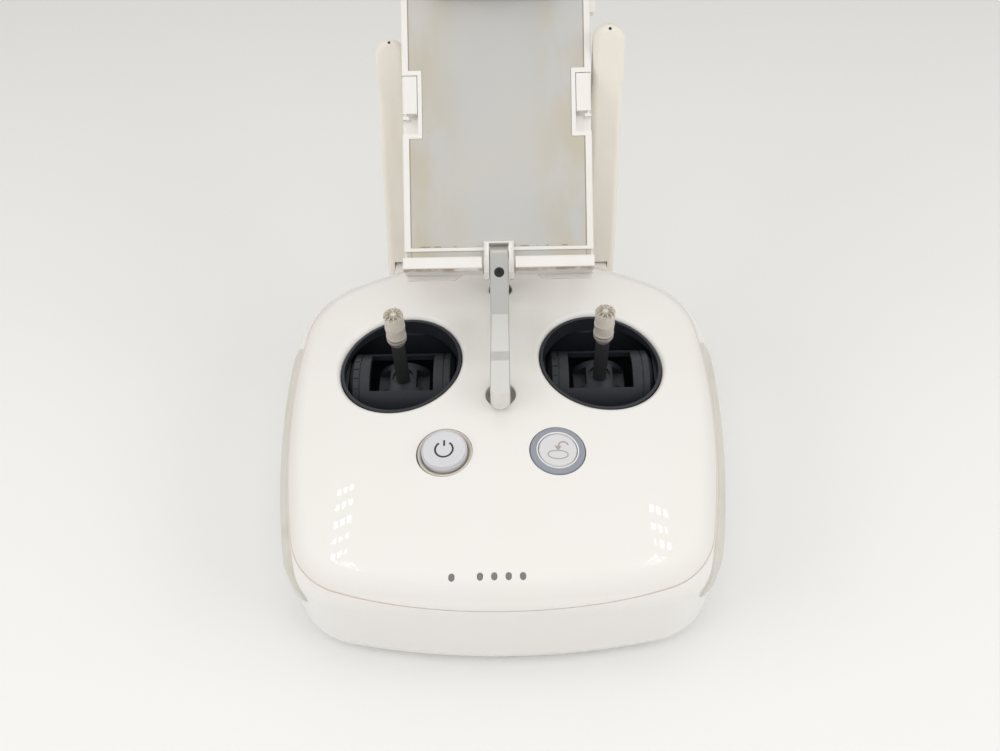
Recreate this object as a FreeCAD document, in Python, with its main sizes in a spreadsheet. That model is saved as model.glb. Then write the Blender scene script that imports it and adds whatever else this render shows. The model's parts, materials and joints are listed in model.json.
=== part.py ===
"""Hand-held radio transmitter controller: two gimbal sticks, two folding antennas and a phone holder.

Row frame: +X to the operator's right, +Y away from the operator, +Z up, table at z = 0.
Panel frame: origin at the middle of the button row on the control panel, tilted about +X.
Holder frame: x across, y up the tray from the lower edge of its pad, z out of the pad.
"""
import FreeCAD, Part
import math
import os
import Sketcher

Vector = FreeCAD.Vector
Rotation = FreeCAD.Rotation
Placement = FreeCAD.Placement

X_AXIS = Vector(1, 0, 0)
Y_AXIS = Vector(0, 1, 0)
Z_AXIS = Vector(0, 0, 1)
SIDES = (("left", -1), ("right", 1))

DIMENSIONS = (
    ("panel_tilt", 6.0, "control panel rises away from the operator, degrees"),
    ("panel_back", 12.0, "button row stands this far in front of the origin"),
    ("panel_height", 64.0, "button row above the table"),
    ("crown_top", 0.3, "highest point of the crown above the panel plane"),
    ("crown_centre", 23.0, "crown's highest line, up the panel from the button row"),
    ("crown_long", 900.0, "crown radius seen from the side"),
    ("crown_cross", 330.0, "crown radius seen from the front"),
    ("front_edge", 58.3, "front of the casing below the button row"),
    ("front_radius", 290.0, "front arc"),
    ("front_corner", 28.0, "front corner arc"),
    ("half_width", 88.3, "widest point of the casing"),
    ("widest_at", 51.0, "widest point up the panel"),
    ("side_radius", 400.0, "side arc"),
    ("far_corner", 36.0, "far corner arc"),
    ("far_edge", 112.5, "far edge of the casing up the panel"),
    ("far_radius", 188.0, "far arc"),
    ("top_round", 13.0, "rounding of the upper edge"),
    ("base_round", 12.0, "rounding of the lower edge"),
    ("base_break", 60.0, "the underside rises beyond this line"),
    ("base_rise", 15.0, "slope of the rising underside, degrees"),
    ("base_blend", 60.0, "radius between flat and rising underside"),
    ("wall", 2.4, "casing wall"),
    ("seam_depth", 12.0, "seam between the shells below the panel plane"),
    ("seam_gap", 0.4, "visible seam"),
    ("lip_wall", 1.3, "seam tongue is set in from the outside by this much"),
    ("fit_gap", 0.3, "ordinary gap between pieces"),
    ("well_x", 40.3, "stick well from the middle line"),
    ("well_y", 45.6, "stick well up the panel"),
    ("well_radius", 24.9, "stick well opening"),
    ("well_lip", 2.0, "rounding of the well opening"),
    ("pivot_depth", 24.0, "stick pivot below the panel plane"),
    ("drum_radius", 17.0, "gimbal drum"),
    ("drum_half", 21.4, "half the drum's length"),
    ("drum_bore", 14.6, "inside of the drum"),
    ("axle_radius", 3.0, "drum axle"),
    ("pin_radius", 2.0, "saddle pin"),
    ("running_gap", 0.05, "radial clearance of a running shaft"),
    ("saddle_radius", 12.0, "stick saddle"),
    ("saddle_half", 7.4, "half the saddle's width"),
    ("shaft_radius", 2.75, "stick shaft"),
    ("stud_radius", 1.5, "threaded stud in the stick"),
    ("tip_radius", 4.0, "stick tip"),
    ("tip_top", 26.0, "stick tip above the panel plane"),
    ("tip_bottom", 12.5, "lower end of the stick tip"),
    ("collar_bottom", 9.0, "lower end of the tapered lock collar"),
    ("button_x", 21.0, "power and home buttons from the middle line"),
    ("button_ring", 10.25, "outer radius of the button surrounds"),
    ("light_y", 49.3, "status lights below the button row"),
    ("light_pitch", 4.87, "pitch of the battery lights"),
    ("light_width", 1.9, "width of a light pipe"),
    ("light_length", 2.4, "length of a light pipe"),
    ("bar_half", 3.75, "half the width of the handle bar"),
    ("bar_level", 12.0, "top of the handle bar above the panel plane"),
    ("foot_front", 17.0, "front of the handle bar's foot up the panel"),
    ("recess_y", 26.0, "front recess of the handle bar"),
    ("recess_radius", 5.75, "front recess"),
    ("rear_recess_y", 84.2, "rear recess of the handle bar"),
    ("rear_recess_radius", 4.8, "rear recess"),
    ("recess_floor", 6.0, "floor of both recesses below the panel plane"),
    ("pivot_y", 80.0, "holder pivot up the panel"),
    ("pivot_z", 22.6, "holder pivot above the panel plane"),
    ("knuckle_radius", 3.7, "pivot end of the handle bar"),
    ("pivot_pin", 1.5, "holder pivot pin radius"),
    ("holder_y", 80.7, "lower edge of the holder pad up the panel"),
    ("holder_z", 26.4, "lower edge of the holder pad above the panel plane"),
    ("holder_lean", 39.0, "holder tray above the panel plane, degrees"),
    ("tray_half", 38.0, "half the width of the tray"),
    ("tray_top", 112.0, "upper edge of the tray"),
    ("tray_thick", 7.0, "tray behind the pad face"),
    ("rim_height", 0.4, "rim proud of the pad face"),
    ("pad_half", 35.25, "half the width of the pad"),
    ("pad_top", 102.3, "upper edge of the pad"),
    ("pad_thick", 1.2, "thickness of the pad"),
    ("notch_half", 29.9, "half the pad's width beside the tabs"),
    ("notch_low", 43.8, "lower end of the pad notches"),
    ("notch_high", 71.3, "upper end of the pad notches"),
    ("pocket_half", 31.7, "inner wall of the tab pockets"),
    ("tab_low", 54.0, "lower end of a side tab"),
    ("tab_high", 69.0, "upper end of a side tab"),
    ("ledge_depth", 12.5, "ledge out of the pad face"),
    ("ledge_floor", 8.0, "ledge floor below the pad"),
    ("ledge_lip", 5.3, "top of the ledge lip below the pad"),
    ("yoke_half", 6.0, "half the width of the yoke"),
    ("slot_half", 3.95, "half the width of the yoke slot"),
    ("yoke_top", 2.2, "top of the yoke above the pad's lower edge"),
    ("slot_top", 1.2, "top of the yoke slot"),
    ("cover_thick", 6.0, "back cover behind the tray"),
    ("jaw_half", 24.0, "half the width of the clamp jaw"),
    ("jaw_low", 103.0, "lower face of the clamp jaw"),
    ("antenna_x", 45.2, "antenna from the middle line"),
    ("antenna_y", 113.8, "antenna pivot up the panel"),
    ("antenna_drop", 18.0, "antenna pivot below the panel plane"),
    ("antenna_width", 12.8, "antenna blade width"),
    ("antenna_thick", 9.0, "antenna blade thickness"),
    ("left_antenna_reach", 100.0, "left antenna pivot to tip"),
    ("right_antenna_reach", 107.5, "right antenna pivot to tip"),
    ("left_antenna_lift", 59.0, "left antenna above the panel plane, degrees"),
    ("right_antenna_lift", 73.0, "right antenna above the panel plane, degrees"),
    ("lug_half", 2.8, "half the width of an antenna mount's lug"),
    ("dial_radius", 11.0, "shoulder dial"),
    ("dial_set", 28.0, "dial axis from the far corner's centre"),
    ("dial_angle", 35.0, "dial around the far corner, degrees"),
    ("dial_depth", 26.5, "middle of the dial below the panel plane"),
    ("dial_thick", 7.0, "dial thickness"),
    ("shoulder_angle", 72.0, "shoulder button around the far corner, degrees"),
    ("shoulder_radius", 4.5, "shoulder button"),
    ("rear_button_x", 26.0, "rear button and mode switch from the middle line"),
    ("base_button_x", 40.0, "underside buttons from the middle line"),
    ("base_button_y", 74.0, "underside buttons away from the origin"),
    ("base_button_radius", 5.5, "underside button"),
    ("port_half", 17.0, "half the width of the port panel"),
    ("port_top", 20.0, "top of the port panel below the panel plane"),
    ("port_bottom", 46.0, "bottom of the port panel below the panel plane"),
    ("boss_radius", 4.0, "screw column"),
    ("boss_meet", 24.0, "upper and lower screw columns meet below the panel plane"),
    ("screw_radius", 1.4, "case screw shank"),
)

doc = FreeCAD.newDocument("transmitter")
sheet = doc.addObject("Spreadsheet::Sheet", "dims")
for row, (name, value, meaning) in enumerate(DIMENSIONS, start=1):
    sheet.set(f"A{row}", name)
    sheet.set(f"B{row}", str(value))
    sheet.set(f"C{row}", meaning)
    sheet.setAlias(f"B{row}", name)
doc.recompute()


class Size:
    """A length from the sheet, or worked out from such lengths, with the expression that keeps it bound."""

    def __init__(self, value, text=None):
        self.value = float(value)
        self.text = text or f"({float(value):.6g})"

    def __add__(self, other):
        other = size(other)
        return Size(self.value + other.value, f"({self.text} + {other.text})")

    def __sub__(self, other):
        other = size(other)
        return Size(self.value - other.value, f"({self.text} - {other.text})")

    def __rsub__(self, other):
        return size(other) - self

    def __mul__(self, other):
        other = size(other)
        return Size(self.value * other.value, f"({self.text} * {other.text})")

    def __truediv__(self, other):
        other = size(other)
        return Size(self.value / other.value, f"({self.text} / {other.text})")

    def __neg__(self):
        return Size(0) - self

    __radd__ = __add__
    __rmul__ = __mul__


def size(value):
    return value if isinstance(value, Size) else Size(value)


class Dimensions:
    """The sheet's cells by name."""

    def __getattr__(self, name):
        return Size(sheet.get(name), f"dims.{name}")


d = Dimensions()


def cell(name):
    return float(sheet.get(name))


# ---------------------------------------------------------------- frames

PANEL = Placement(Vector(0, -cell("panel_back"), cell("panel_height")), Rotation(X_AXIS, cell("panel_tilt")))


def on_panel(x=0.0, y=0.0, z=0.0, turn=None):
    return PANEL.multiply(Placement(Vector(x, y, z), turn or Rotation()))


HOLDER = on_panel(0, cell("holder_y"), cell("holder_z"), Rotation(X_AXIS, cell("holder_lean")))


def on_holder(x=0.0, y=0.0, z=0.0, turn=None):
    return HOLDER.multiply(Placement(Vector(x, y, z), turn or Rotation()))


def crown_point(x, y):
    """Point on the crowned panel, with its outward normal, in the panel frame."""
    cross = cell("crown_cross")
    ring = cell("crown_long") - cross
    axis_z = cell("crown_top") - cell("crown_long")
    rise = math.sqrt(cross ** 2 - x ** 2)
    reach = ring + rise
    offset = y - cell("crown_centre")
    height = math.sqrt(reach ** 2 - offset ** 2)
    normal = Vector(x, rise * offset / reach, rise * height / reach)
    return Vector(x, y, axis_z + height), normal.normalize()


def on_crown(x, y):
    point, normal = crown_point(x, y)
    return PANEL.multiply(Placement(point, Rotation(Z_AXIS, normal)))


# ---------------------------------------------------------------- PartDesign helpers


def new_body(label, place):
    body = doc.addObject("PartDesign::Body", label)
    body.Label = label
    body.Placement = place
    return body


def new_sketch(body, role, lift=0.0):
    sketch = body.newObject("Sketcher::SketchObject", "Profile")
    plane = [item for item in body.Origin.OriginFeatures if item.Role == role][0]
    sketch.AttachmentSupport = (plane, "")
    sketch.MapMode = "FlatFace"
    sketch.setExpression("AttachmentOffset.Base.z", size(lift).text)
    return sketch


def pin_point(sketch, geometry, position, x, y):
    """Hold one point of the sketch at a place worked out from the sheet."""
    for kind, place in (("DistanceX", size(x)), ("DistanceY", size(y))):
        number = sketch.addConstraint(Sketcher.Constraint(kind, -1, 1, geometry, position, place.value))
        sketch.setExpression(f"Constraints[{number}]", place.text)


def draw_polygon(sketch, corners):
    corners = [(size(x), size(y)) for x, y in corners]
    first = sketch.GeometryCount
    count = len(corners)
    for index in range(count):
        start = corners[index]
        end = corners[(index + 1) % count]
        line = Part.LineSegment(Vector(start[0].value, start[1].value, 0), Vector(end[0].value, end[1].value, 0))
        sketch.addGeometry(line)
    for index in range(count):
        following = first + (index + 1) % count
        sketch.addConstraint(Sketcher.Constraint("Coincident", first + index, 2, following, 1))
        pin_point(sketch, first + index, 1, *corners[index])


def draw_rectangle(sketch, left, low, right, high):
    draw_polygon(sketch, [(left, low), (right, low), (right, high), (left, high)])


def draw_circle(sketch, x, y, radius):
    x, y, radius = size(x), size(y), size(radius)
    number = sketch.addGeometry(Part.Circle(Vector(x.value, y.value, 0), Z_AXIS, radius.value))
    pin_point(sketch, number, 3, x, y)
    bound = sketch.addConstraint(Sketcher.Constraint("Radius", number, radius.value))
    sketch.setExpression(f"Constraints[{bound}]", radius.text)


def add_pad(body, sketch, length, middle=False, reverse=False):
    pad = body.newObject("PartDesign::Pad", "Pad")
    pad.Profile = sketch
    pad.setExpression("Length", size(length).text)
    pad.Midplane = middle
    pad.Reversed = reverse
    body.Tip = pad
    return pad


def add_pocket(body, sketch, length, middle=False, reverse=False):
    """Cut a pocket, and stop if it removed nothing."""
    doc.recompute()
    before = body.Shape.Volume
    pocket = body.newObject("PartDesign::Pocket", "Pocket")
    pocket.Profile = sketch
    pocket.setExpression("Length", size(length).text)
    pocket.Midplane = middle
    pocket.Reversed = reverse
    body.Tip = pocket
    doc.recompute()
    if body.Shape.Volume > before - 0.01:
        raise RuntimeError(f"a pocket of {body.Label} cuts nothing")
    return pocket


def add_turn(body, sketch, axis):
    turn = body.newObject("PartDesign::Revolution", "Revolution")
    turn.Profile = sketch
    turn.ReferenceAxis = (sketch, [axis])
    turn.Angle = 360.0
    body.Tip = turn
    return turn


def add_fillet(body, radius, wanted, kind="PartDesign::Fillet"):
    """Round or chamfer the edges of the body's last feature that the test accepts."""
    doc.recompute()
    base = body.Tip
    names = [f"Edge{i}" for i, edge in enumerate(base.Shape.Edges, start=1) if wanted(edge)]
    if not names:
        raise RuntimeError(f"no edge of {body.Label} is to be rounded")
    finish = body.newObject(kind, "Finish")
    finish.Base = (base, names)
    finish.setExpression("Radius" if kind.endswith("Fillet") else "Size", size(radius).text)
    body.Tip = finish
    doc.recompute()
    return finish


def add_ring_pattern(body, feature, role, count):
    """Repeat a feature evenly round one of the body's axes."""
    axis = [item for item in body.Origin.OriginFeatures if item.Role == role][0]
    pattern = body.newObject("PartDesign::PolarPattern", "Pattern")
    pattern.Originals = [feature]
    pattern.Axis = (axis, [""])
    pattern.Angle = 360.0
    pattern.Occurrences = count
    body.Tip = pattern
    doc.recompute()
    return pattern


def is_upright(edge):
    """A straight edge along the local z axis."""
    return isinstance(edge.Curve, Part.Line) and abs(edge.Curve.Direction.z) > 0.999


def turned(label, place, profile, role="XZ_Plane", axis="V_Axis"):
    """A piece turned about its own axis from a closed half profile."""
    body = new_body(label, place)
    sketch = new_sketch(body, role)
    draw_polygon(sketch, profile)
    add_turn(body, sketch, axis)
    return body


def block(label, place, left, right, near, far, low, high, rounding=0.0):
    """A rectangular piece between the given faces, with its upright edges rounded."""
    body = new_body(label, place)
    sketch = new_sketch(body, "XY_Plane", low)
    draw_rectangle(sketch, left, near, right, far)
    add_pad(body, sketch, size(high) - low)
    if rounding:
        add_fillet(body, rounding, is_upright)
    return body


# ---------------------------------------------------------------- casing geometry


def unit(vector):
    return Vector(vector).normalize()


def circle_meet(first, first_radius, second, second_radius, upper):
    """The crossing of two circles with the greater x, or with the greater y when upper is set."""
    gap = second - first
    along = (first_radius ** 2 - second_radius ** 2 + gap.Length ** 2) / (2 * gap.Length)
    across = math.sqrt(first_radius ** 2 - along ** 2)
    middle = first + unit(gap) * along
    side = unit(Vector(-gap.y, gap.x, 0)) * across
    key = (lambda point: point.y) if upper else (lambda point: point.x)
    return max((middle + side, middle - side), key=key)


def arc_edge(centre, radius, start, end):
    middle = centre + unit((start - centre) + (end - centre)) * radius
    return Part.Arc(start, middle, end).toShape()


def casing_centres():
    """Centres of the outline's arcs on the right-hand side."""
    front = Vector(0, cell("front_radius") - cell("front_edge"), 0)
    side = Vector(cell("half_width") - cell("side_radius"), cell("widest_at"), 0)
    far = Vector(0, cell("far_edge") - cell("far_radius"), 0)
    corner = cell("front_corner")
    side_reach = cell("side_radius") - corner
    front_corner = circle_meet(front, cell("front_radius") - corner, side, side_reach, False)
    corner = cell("far_corner")
    side_reach = cell("side_radius") - corner
    far_corner = circle_meet(far, cell("far_radius") - corner, side, side_reach, True)
    return front, side, far, front_corner, far_corner


FRONT, SIDE, FAR, FRONT_CORNER, FAR_CORNER = casing_centres()


def casing_outline(inset, level):
    """Closed plan outline of the casing, eight tangent arcs, shrunk by the inset."""
    front_radius = cell("front_radius") - inset
    side_radius = cell("side_radius") - inset
    far_radius = cell("far_radius") - inset

    def mirror(point):
        return Vector(-point.x, point.y, point.z)

    front_join = FRONT + unit(FRONT_CORNER - FRONT) * front_radius
    side_low = SIDE + unit(FRONT_CORNER - SIDE) * side_radius
    side_high = SIDE + unit(FAR_CORNER - SIDE) * side_radius
    far_join = FAR + unit(FAR_CORNER - FAR) * far_radius
    corner_front = cell("front_corner") - inset
    corner_far = cell("far_corner") - inset
    edges = [
        arc_edge(FRONT, front_radius, mirror(front_join), front_join),
        arc_edge(FRONT_CORNER, corner_front, front_join, side_low),
        arc_edge(SIDE, side_radius, side_low, side_high),
        arc_edge(FAR_CORNER, corner_far, side_high, far_join),
        arc_edge(FAR, far_radius, far_join, mirror(far_join)),
        arc_edge(mirror(FAR_CORNER), corner_far, mirror(far_join), mirror(side_high)),
        arc_edge(mirror(SIDE), side_radius, mirror(side_high), mirror(side_low)),
        arc_edge(mirror(FRONT_CORNER), corner_front, mirror(side_low), mirror(front_join)),
    ]
    wire = Part.Wire(edges)
    wire.translate(Vector(0, 0, level))
    return Part.Face(wire)


def crown_solid(inset):
    """Everything under the crowned panel surface, lowered by the inset."""
    reach = 120.0
    depth = 140.0
    swing = 12.0
    radius = cell("crown_cross") - inset
    top = cell("crown_top") - inset
    sag = radius - math.sqrt(radius ** 2 - reach ** 2)
    centre_y = cell("crown_centre")
    left = Vector(-reach, centre_y, top - sag)
    right = Vector(reach, centre_y, top - sag)
    arc = Part.Arc(left, Vector(0, centre_y, top), right).toShape()
    low_right = Vector(reach, centre_y, -depth)
    low_left = Vector(-reach, centre_y, -depth)
    sides = Part.makePolygon([right, low_right, low_left, left]).Edges
    face = Part.Face(Part.Wire([arc] + sides))
    axis_point = Vector(0, centre_y, cell("crown_top") - cell("crown_long"))
    face.rotate(axis_point, X_AXIS, -swing)
    return face.revolve(axis_point, X_AXIS, 2 * swing)


def base_line(inset):
    """Side profile of the underside in the row frame: flat, then an arc, then a rising line."""
    rise = math.radians(cell("base_rise"))
    blend = cell("base_blend")
    start = cell("base_break") - blend * math.tan(rise / 2)
    radius = blend - inset
    first = Vector(0, start, inset)
    middle = Vector(0, start + radius * math.sin(rise / 2), blend - radius * math.cos(rise / 2))
    last = Vector(0, start + radius * math.sin(rise), blend - radius * math.cos(rise))
    return first, middle, last, Vector(0, math.cos(rise), math.sin(rise))


def base_solid(inset):
    """Everything above the underside, in the panel frame."""
    reach = 120.0
    first, middle, last, slope = base_line(inset)
    near = Vector(0, -150, inset)
    far = last + slope * 120
    top_far = Vector(0, far.y, 160)
    top_near = Vector(0, near.y, 160)
    arc = Part.Arc(first, middle, last).toShape()
    lines = Part.makePolygon([last, far, top_far, top_near, near, first]).Edges
    face = Part.Face(Part.Wire([arc] + lines))
    face.translate(Vector(-reach, 0, 0))
    solid = face.extrude(Vector(2 * reach, 0, 0))
    solid.Placement = PANEL.inverse().multiply(solid.Placement)
    return solid


def casing_block(inset):
    """The whole casing as one rounded solid in the panel frame, shrunk by the inset."""
    floor = -95.0
    prism = casing_outline(inset, floor).extrude(Vector(0, 0, 120))
    solid = prism.common(crown_solid(inset)).common(base_solid(inset))
    curved = [edge for edge in solid.Edges if not isinstance(edge.Curve, Part.Line)]
    upper = [edge for edge in curved if edge.CenterOfMass.z > -30]
    solid = solid.makeFillet(cell("top_round") - inset, upper)
    curved = [edge for edge in solid.Edges if edge.BoundBox.ZMax < -40 and not isinstance(edge.Curve, Part.Line)]
    return solid.makeFillet(cell("base_round") - inset, curved)


def slab(low, high):
    return Part.makeBox(300, 300, high - low, Vector(-150, -150, low))


def column(radius, low, high, x, y):
    return Part.makeCylinder(radius, high - low, Vector(x, y, low), Z_AXIS)


SCREW_SEAT = -31.0
BOSS_PLACES = ((-57, -35), (57, -35), (-71, 8), (71, 8), (-44, 86), (44, 86))


def corner_place(side, angle, reach):
    """Point round a far corner of the outline, with the outward direction."""
    turn = math.radians(angle)
    outward = Vector(side * math.cos(turn), math.sin(turn), 0)
    centre = Vector(side * FAR_CORNER.x, FAR_CORNER.y, 0)
    return centre + outward * reach, outward


def slope_point(x, y, out=0.0):
    """Point on the rising underside in the row frame, moved out along its normal, with that normal."""
    rise = math.radians(cell("base_rise"))
    normal = Vector(0, math.sin(rise), -math.cos(rise))
    return Vector(x, y, (y - cell("base_break")) * math.tan(rise)) + normal * out, normal


def rod(start, direction, length, radius):
    return Part.makeCylinder(radius, length, start, direction)


def feature(label, shape, place):
    piece = doc.addObject("Part::Feature", label)
    piece.Label = label
    piece.Shape = shape
    piece.Placement = place
    return piece


# ---------------------------------------------------------------- casing shells


def port_box(grow, near=98.0, far=125.0):
    half = cell("port_half") + grow
    low = -cell("port_bottom") - grow
    height = cell("port_bottom") - cell("port_top") + 2 * grow
    return Part.makeBox(2 * half, far - near, height, Vector(-half, near, low))


def build_top_shell(outer, inner):
    seam = -cell("seam_depth")
    shell = outer.cut(inner).common(slab(seam, 30))
    rebate = casing_block(cell("lip_wall") - 0.15).cut(casing_block(cell("wall") + 0.1))
    shell = shell.cut(rebate.common(slab(seam - 1, seam + 2.0)))
    well = cell("well_radius")
    places = [Vector(side * cell("well_x"), cell("well_y"), 0) for name, side in SIDES]
    adds = [column(well + 1.8, -9.0, 10, place.x, place.y) for place in places]
    floor = cell("recess_floor")
    adds.append(column(cell("recess_radius") + 1.5, -floor - 1.8, 10, 0, cell("recess_y")))
    adds.append(column(cell("rear_recess_radius") + 1.5, -floor - 1.8, 10, 0, cell("rear_recess_y")))
    adds += [column(cell("boss_radius") - 0.5, -cell("boss_meet"), 10, x, y) for x, y in BOSS_PLACES]
    for piece in adds:
        shell = shell.fuse(piece.common(outer))
    cuts = [column(well, -30, 10, place.x, place.y) for place in places]
    cuts.append(column(cell("recess_radius"), -floor, 10, 0, cell("recess_y")))
    cuts.append(column(cell("rear_recess_radius"), -floor, 10, 0, cell("rear_recess_y")))
    bore = cell("screw_radius") + 0.05
    cuts += [column(bore, -cell("boss_meet") - 1, seam - 2, x, y) for x, y in BOSS_PLACES]
    for name, side in SIDES:
        point, normal = crown_point(side * cell("button_x"), 0)
        cuts.append(rod(point - normal * 8, normal, 16, cell("button_ring") + cell("fit_gap")))
    for x in light_places():
        cuts.append(light_pill(x, 0.1, -10, 10))
    for piece in cuts:
        shell = shell.cut(piece)

    def round_edge(x, y, radius):
        found = []
        for edge in shell.Edges:
            spots = [vertex.Point for vertex in edge.Vertexes] + [edge.valueAt(edge.FirstParameter)]
            middle = edge.valueAt((edge.FirstParameter + edge.LastParameter) / 2)
            for spot in spots + [middle]:
                level = crown_point(spot.x, spot.y)[0].z if abs(spot.x) < 100 else 99
                if abs(math.hypot(spot.x - x, spot.y - y) - radius) > 0.01 or abs(spot.z - level) > 0.02:
                    break
            else:
                found.append(edge)
        return found

    lips = [edge for place in places for edge in round_edge(place.x, place.y, well)]
    shell = shell.makeFillet(cell("well_lip"), lips)
    small = round_edge(0, cell("recess_y"), cell("recess_radius"))
    small += round_edge(0, cell("rear_recess_y"), cell("rear_recess_radius"))
    shell = shell.makeFillet(0.5, small)
    return feature("top_shell", shell.removeSplitter(), PANEL)


def light_places():
    pitch = cell("light_pitch")
    return [-17.0] + [(index - 1.5) * pitch for index in range(4)]


def light_pill(x, grow, low, high):
    """Upright slot-shaped prism of one status light."""
    half = cell("light_width") / 2 + grow
    run = cell("light_length") / 2 - cell("light_width") / 2
    y = -cell("light_y")
    ends = [column(half, low, high, x, y + sign * run) for sign in (-1, 1)]
    bar = Part.makeBox(2 * half, 2 * run, high - low, Vector(x - half, y - run, low))
    return bar.fuse(ends[0]).fuse(ends[1]).removeSplitter()


def dial_centre(side):
    return corner_place(side, cell("dial_angle"), cell("dial_set"))[0]


def build_bottom_shell(outer, inner):
    seam = -cell("seam_depth")
    top = seam - cell("seam_gap")
    shell = outer.cut(inner).common(slab(-100, top))
    tongue = casing_block(cell("lip_wall")).cut(casing_block(cell("wall")))
    shell = shell.fuse(tongue.common(slab(top - 2, seam + 1.2)))
    for x, y in BOSS_PLACES:
        shell = shell.fuse(column(cell("boss_radius"), -80, -cell("boss_meet") - 0.3, x, y).common(outer))
    cuts = []
    for x, y in BOSS_PLACES:
        cuts.append(column(3.1, -80, SCREW_SEAT, x, y))
        cuts.append(column(cell("screw_radius") + 0.2, SCREW_SEAT - 1, 0, x, y))
    half = cell("dial_thick") / 2 + 0.5
    for name, side in SIDES:
        centre = dial_centre(side)
        middle = -cell("dial_depth")
        cuts.append(column(cell("dial_radius") + 0.6, middle - half, middle + half, centre.x, centre.y))
        point, outward = corner_place(side, cell("shoulder_angle"), cell("far_corner"))
        start = point - outward * 8 - Vector(0, 0, cell("dial_depth"))
        cuts.append(rod(start, outward, 12, cell("shoulder_radius") + 0.25))
        cuts.append(grip_lens(side, 0.15).cut(casing_block(0.75)))
        base_point, base_normal = slope_point(side * cell("base_button_x"), cell("base_button_y"))
        hole = rod(base_point - base_normal * 8, base_normal, 12, cell("base_button_radius") + 0.25)
        hole.Placement = PANEL.inverse().multiply(hole.Placement)
        cuts.append(hole)
    x = cell("rear_button_x")
    near = cell("far_edge") - 14.0
    cuts.append(rod(Vector(x, near, -cell("dial_depth")), Y_AXIS, 20, cell("shoulder_radius") + 0.25))
    cuts.append(Part.makeBox(11, 20, 5, Vector(-x - 5.5, near, -cell("dial_depth") - 2.5)))
    cuts.append(port_box(0.1))
    for piece in cuts:
        shell = shell.cut(piece)
    return feature("bottom_shell", shell.removeSplitter(), PANEL)


def grip_lens(side, grow):
    """Prism that outlines a side grip: along the seam, then curving down to its front end."""
    top = -cell("seam_depth") - cell("seam_gap") - 0.4 + grow
    start = Vector(0, -46.5 - grow, -26.5)
    shoulder = Vector(0, -33.0, top)
    end = Vector(0, 62.0 + grow, top)
    front = Part.Arc(start, Vector(0, -41.8 - grow, -16.8 + grow), shoulder).toShape()
    lower = Part.Arc(end, Vector(0, 6.0, -41.0 - grow), start).toShape()
    face = Part.Face(Part.Wire([front, Part.makeLine(shoulder, end), lower]))
    face.translate(Vector(side * 60, 0, 0))
    return face.extrude(Vector(side * 40, 0, 0))


def build_grips():
    band = casing_block(-0.8).cut(casing_block(0.6))
    return [feature(f"{name}_grip_trim", grip_lens(side, 0.0).common(band), PANEL) for name, side in SIDES]


def build_case_screws():
    """Six countersunk case screws, all alike, standing in the screw columns."""
    pieces = []
    for number, (x, y) in enumerate(BOSS_PLACES):
        shank = doc.addObject("Part::Cylinder", f"screw_shank_{number}")
        shank.setExpression("Radius", "dims.screw_radius")
        shank.Height = 16.0
        shank.Placement = Placement(Vector(x, y, SCREW_SEAT - 0.5), Rotation())
        head = doc.addObject("Part::Cylinder", f"screw_head_{number}")
        head.setExpression("Radius", "dims.screw_radius * 2")
        head.Height = 2.0
        head.Placement = Placement(Vector(x, y, SCREW_SEAT - 2.1), Rotation())
        socket = doc.addObject("Part::Prism", f"screw_socket_{number}")
        socket.Polygon = 6
        socket.Circumradius = 1.3
        socket.Height = 1.2
        socket.Placement = Placement(Vector(x, y, SCREW_SEAT - 2.2), Rotation())
        blank = doc.addObject("Part::Fuse", f"screw_blank_{number}")
        blank.Base = head
        blank.Tool = shank
        screw = doc.addObject("Part::Cut", f"screw_{number}")
        screw.Base = blank
        screw.Tool = socket
        pieces.append(screw)
    group = doc.addObject("Part::Compound", "case_screws")
    group.Label = "case_screws"
    group.Links = pieces
    group.Placement = PANEL
    return group


# ---------------------------------------------------------------- panel controls


def build_power_button():
    place = on_crown(-cell("button_x"), 0)
    ring = d.button_ring
    bezel = turned("power_bezel", place, [
        (Size(7.0), Size(-6.0)), (ring, Size(-6.0)), (ring, Size(-0.7)), (ring - 0.35, Size(-0.35)),
        (Size(9.3), Size(-0.35)), (Size(9.3), Size(-2.2)), (Size(7.0), Size(-2.2))])
    button = turned("power_button", place, [
        (Size(0), Size(-8.0)), (Size(4.0), Size(-8.0)), (Size(4.0), Size(-1.0)), (Size(8.9), Size(-1.0)),
        (Size(8.9), Size(0.6)), (Size(8.3), Size(1.0)), (Size(8.3), Size(1.9)), (Size(7.9), Size(2.3)),
        (Size(7.2), Size(2.35)), (Size(6.3), Size(1.95)), (Size(0), Size(1.75))])
    return [bezel, button]


def build_home_button():
    place = on_crown(cell("button_x"), 0)
    ring = d.button_ring
    light = turned("home_light_ring", place, [
        (Size(8.0), Size(-5.0)), (ring, Size(-5.0)), (ring, Size(-0.1)), (ring - 0.3, Size(0.2)),
        (Size(8.0), Size(0.35))])
    bezel = turned("home_bezel", place, [
        (Size(7.35), Size(-5.0)), (Size(7.95), Size(-5.0)), (Size(7.95), Size(0.4)), (Size(7.8), Size(0.7)),
        (Size(7.5), Size(0.7)), (Size(7.35), Size(0.4))])
    button = turned("home_button", place, [
        (Size(0), Size(-8.0)), (Size(4.0), Size(-8.0)), (Size(4.0), Size(-4.6)), (Size(7.05), Size(-4.6)),
        (Size(7.05), Size(0.35)), (Size(6.75), Size(0.65)), (Size(6.2), Size(0.7)), (Size(0), Size(0.3))])
    return [light, bezel, button]


def build_status_lights():
    pipes = [light_pill(x, 0.0, -19.5, 10) for x in light_places()]
    lowered = casing_block(0.12)
    return feature("status_light_pipes", Part.makeCompound([pipe.common(lowered) for pipe in pipes]), PANEL)


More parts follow.
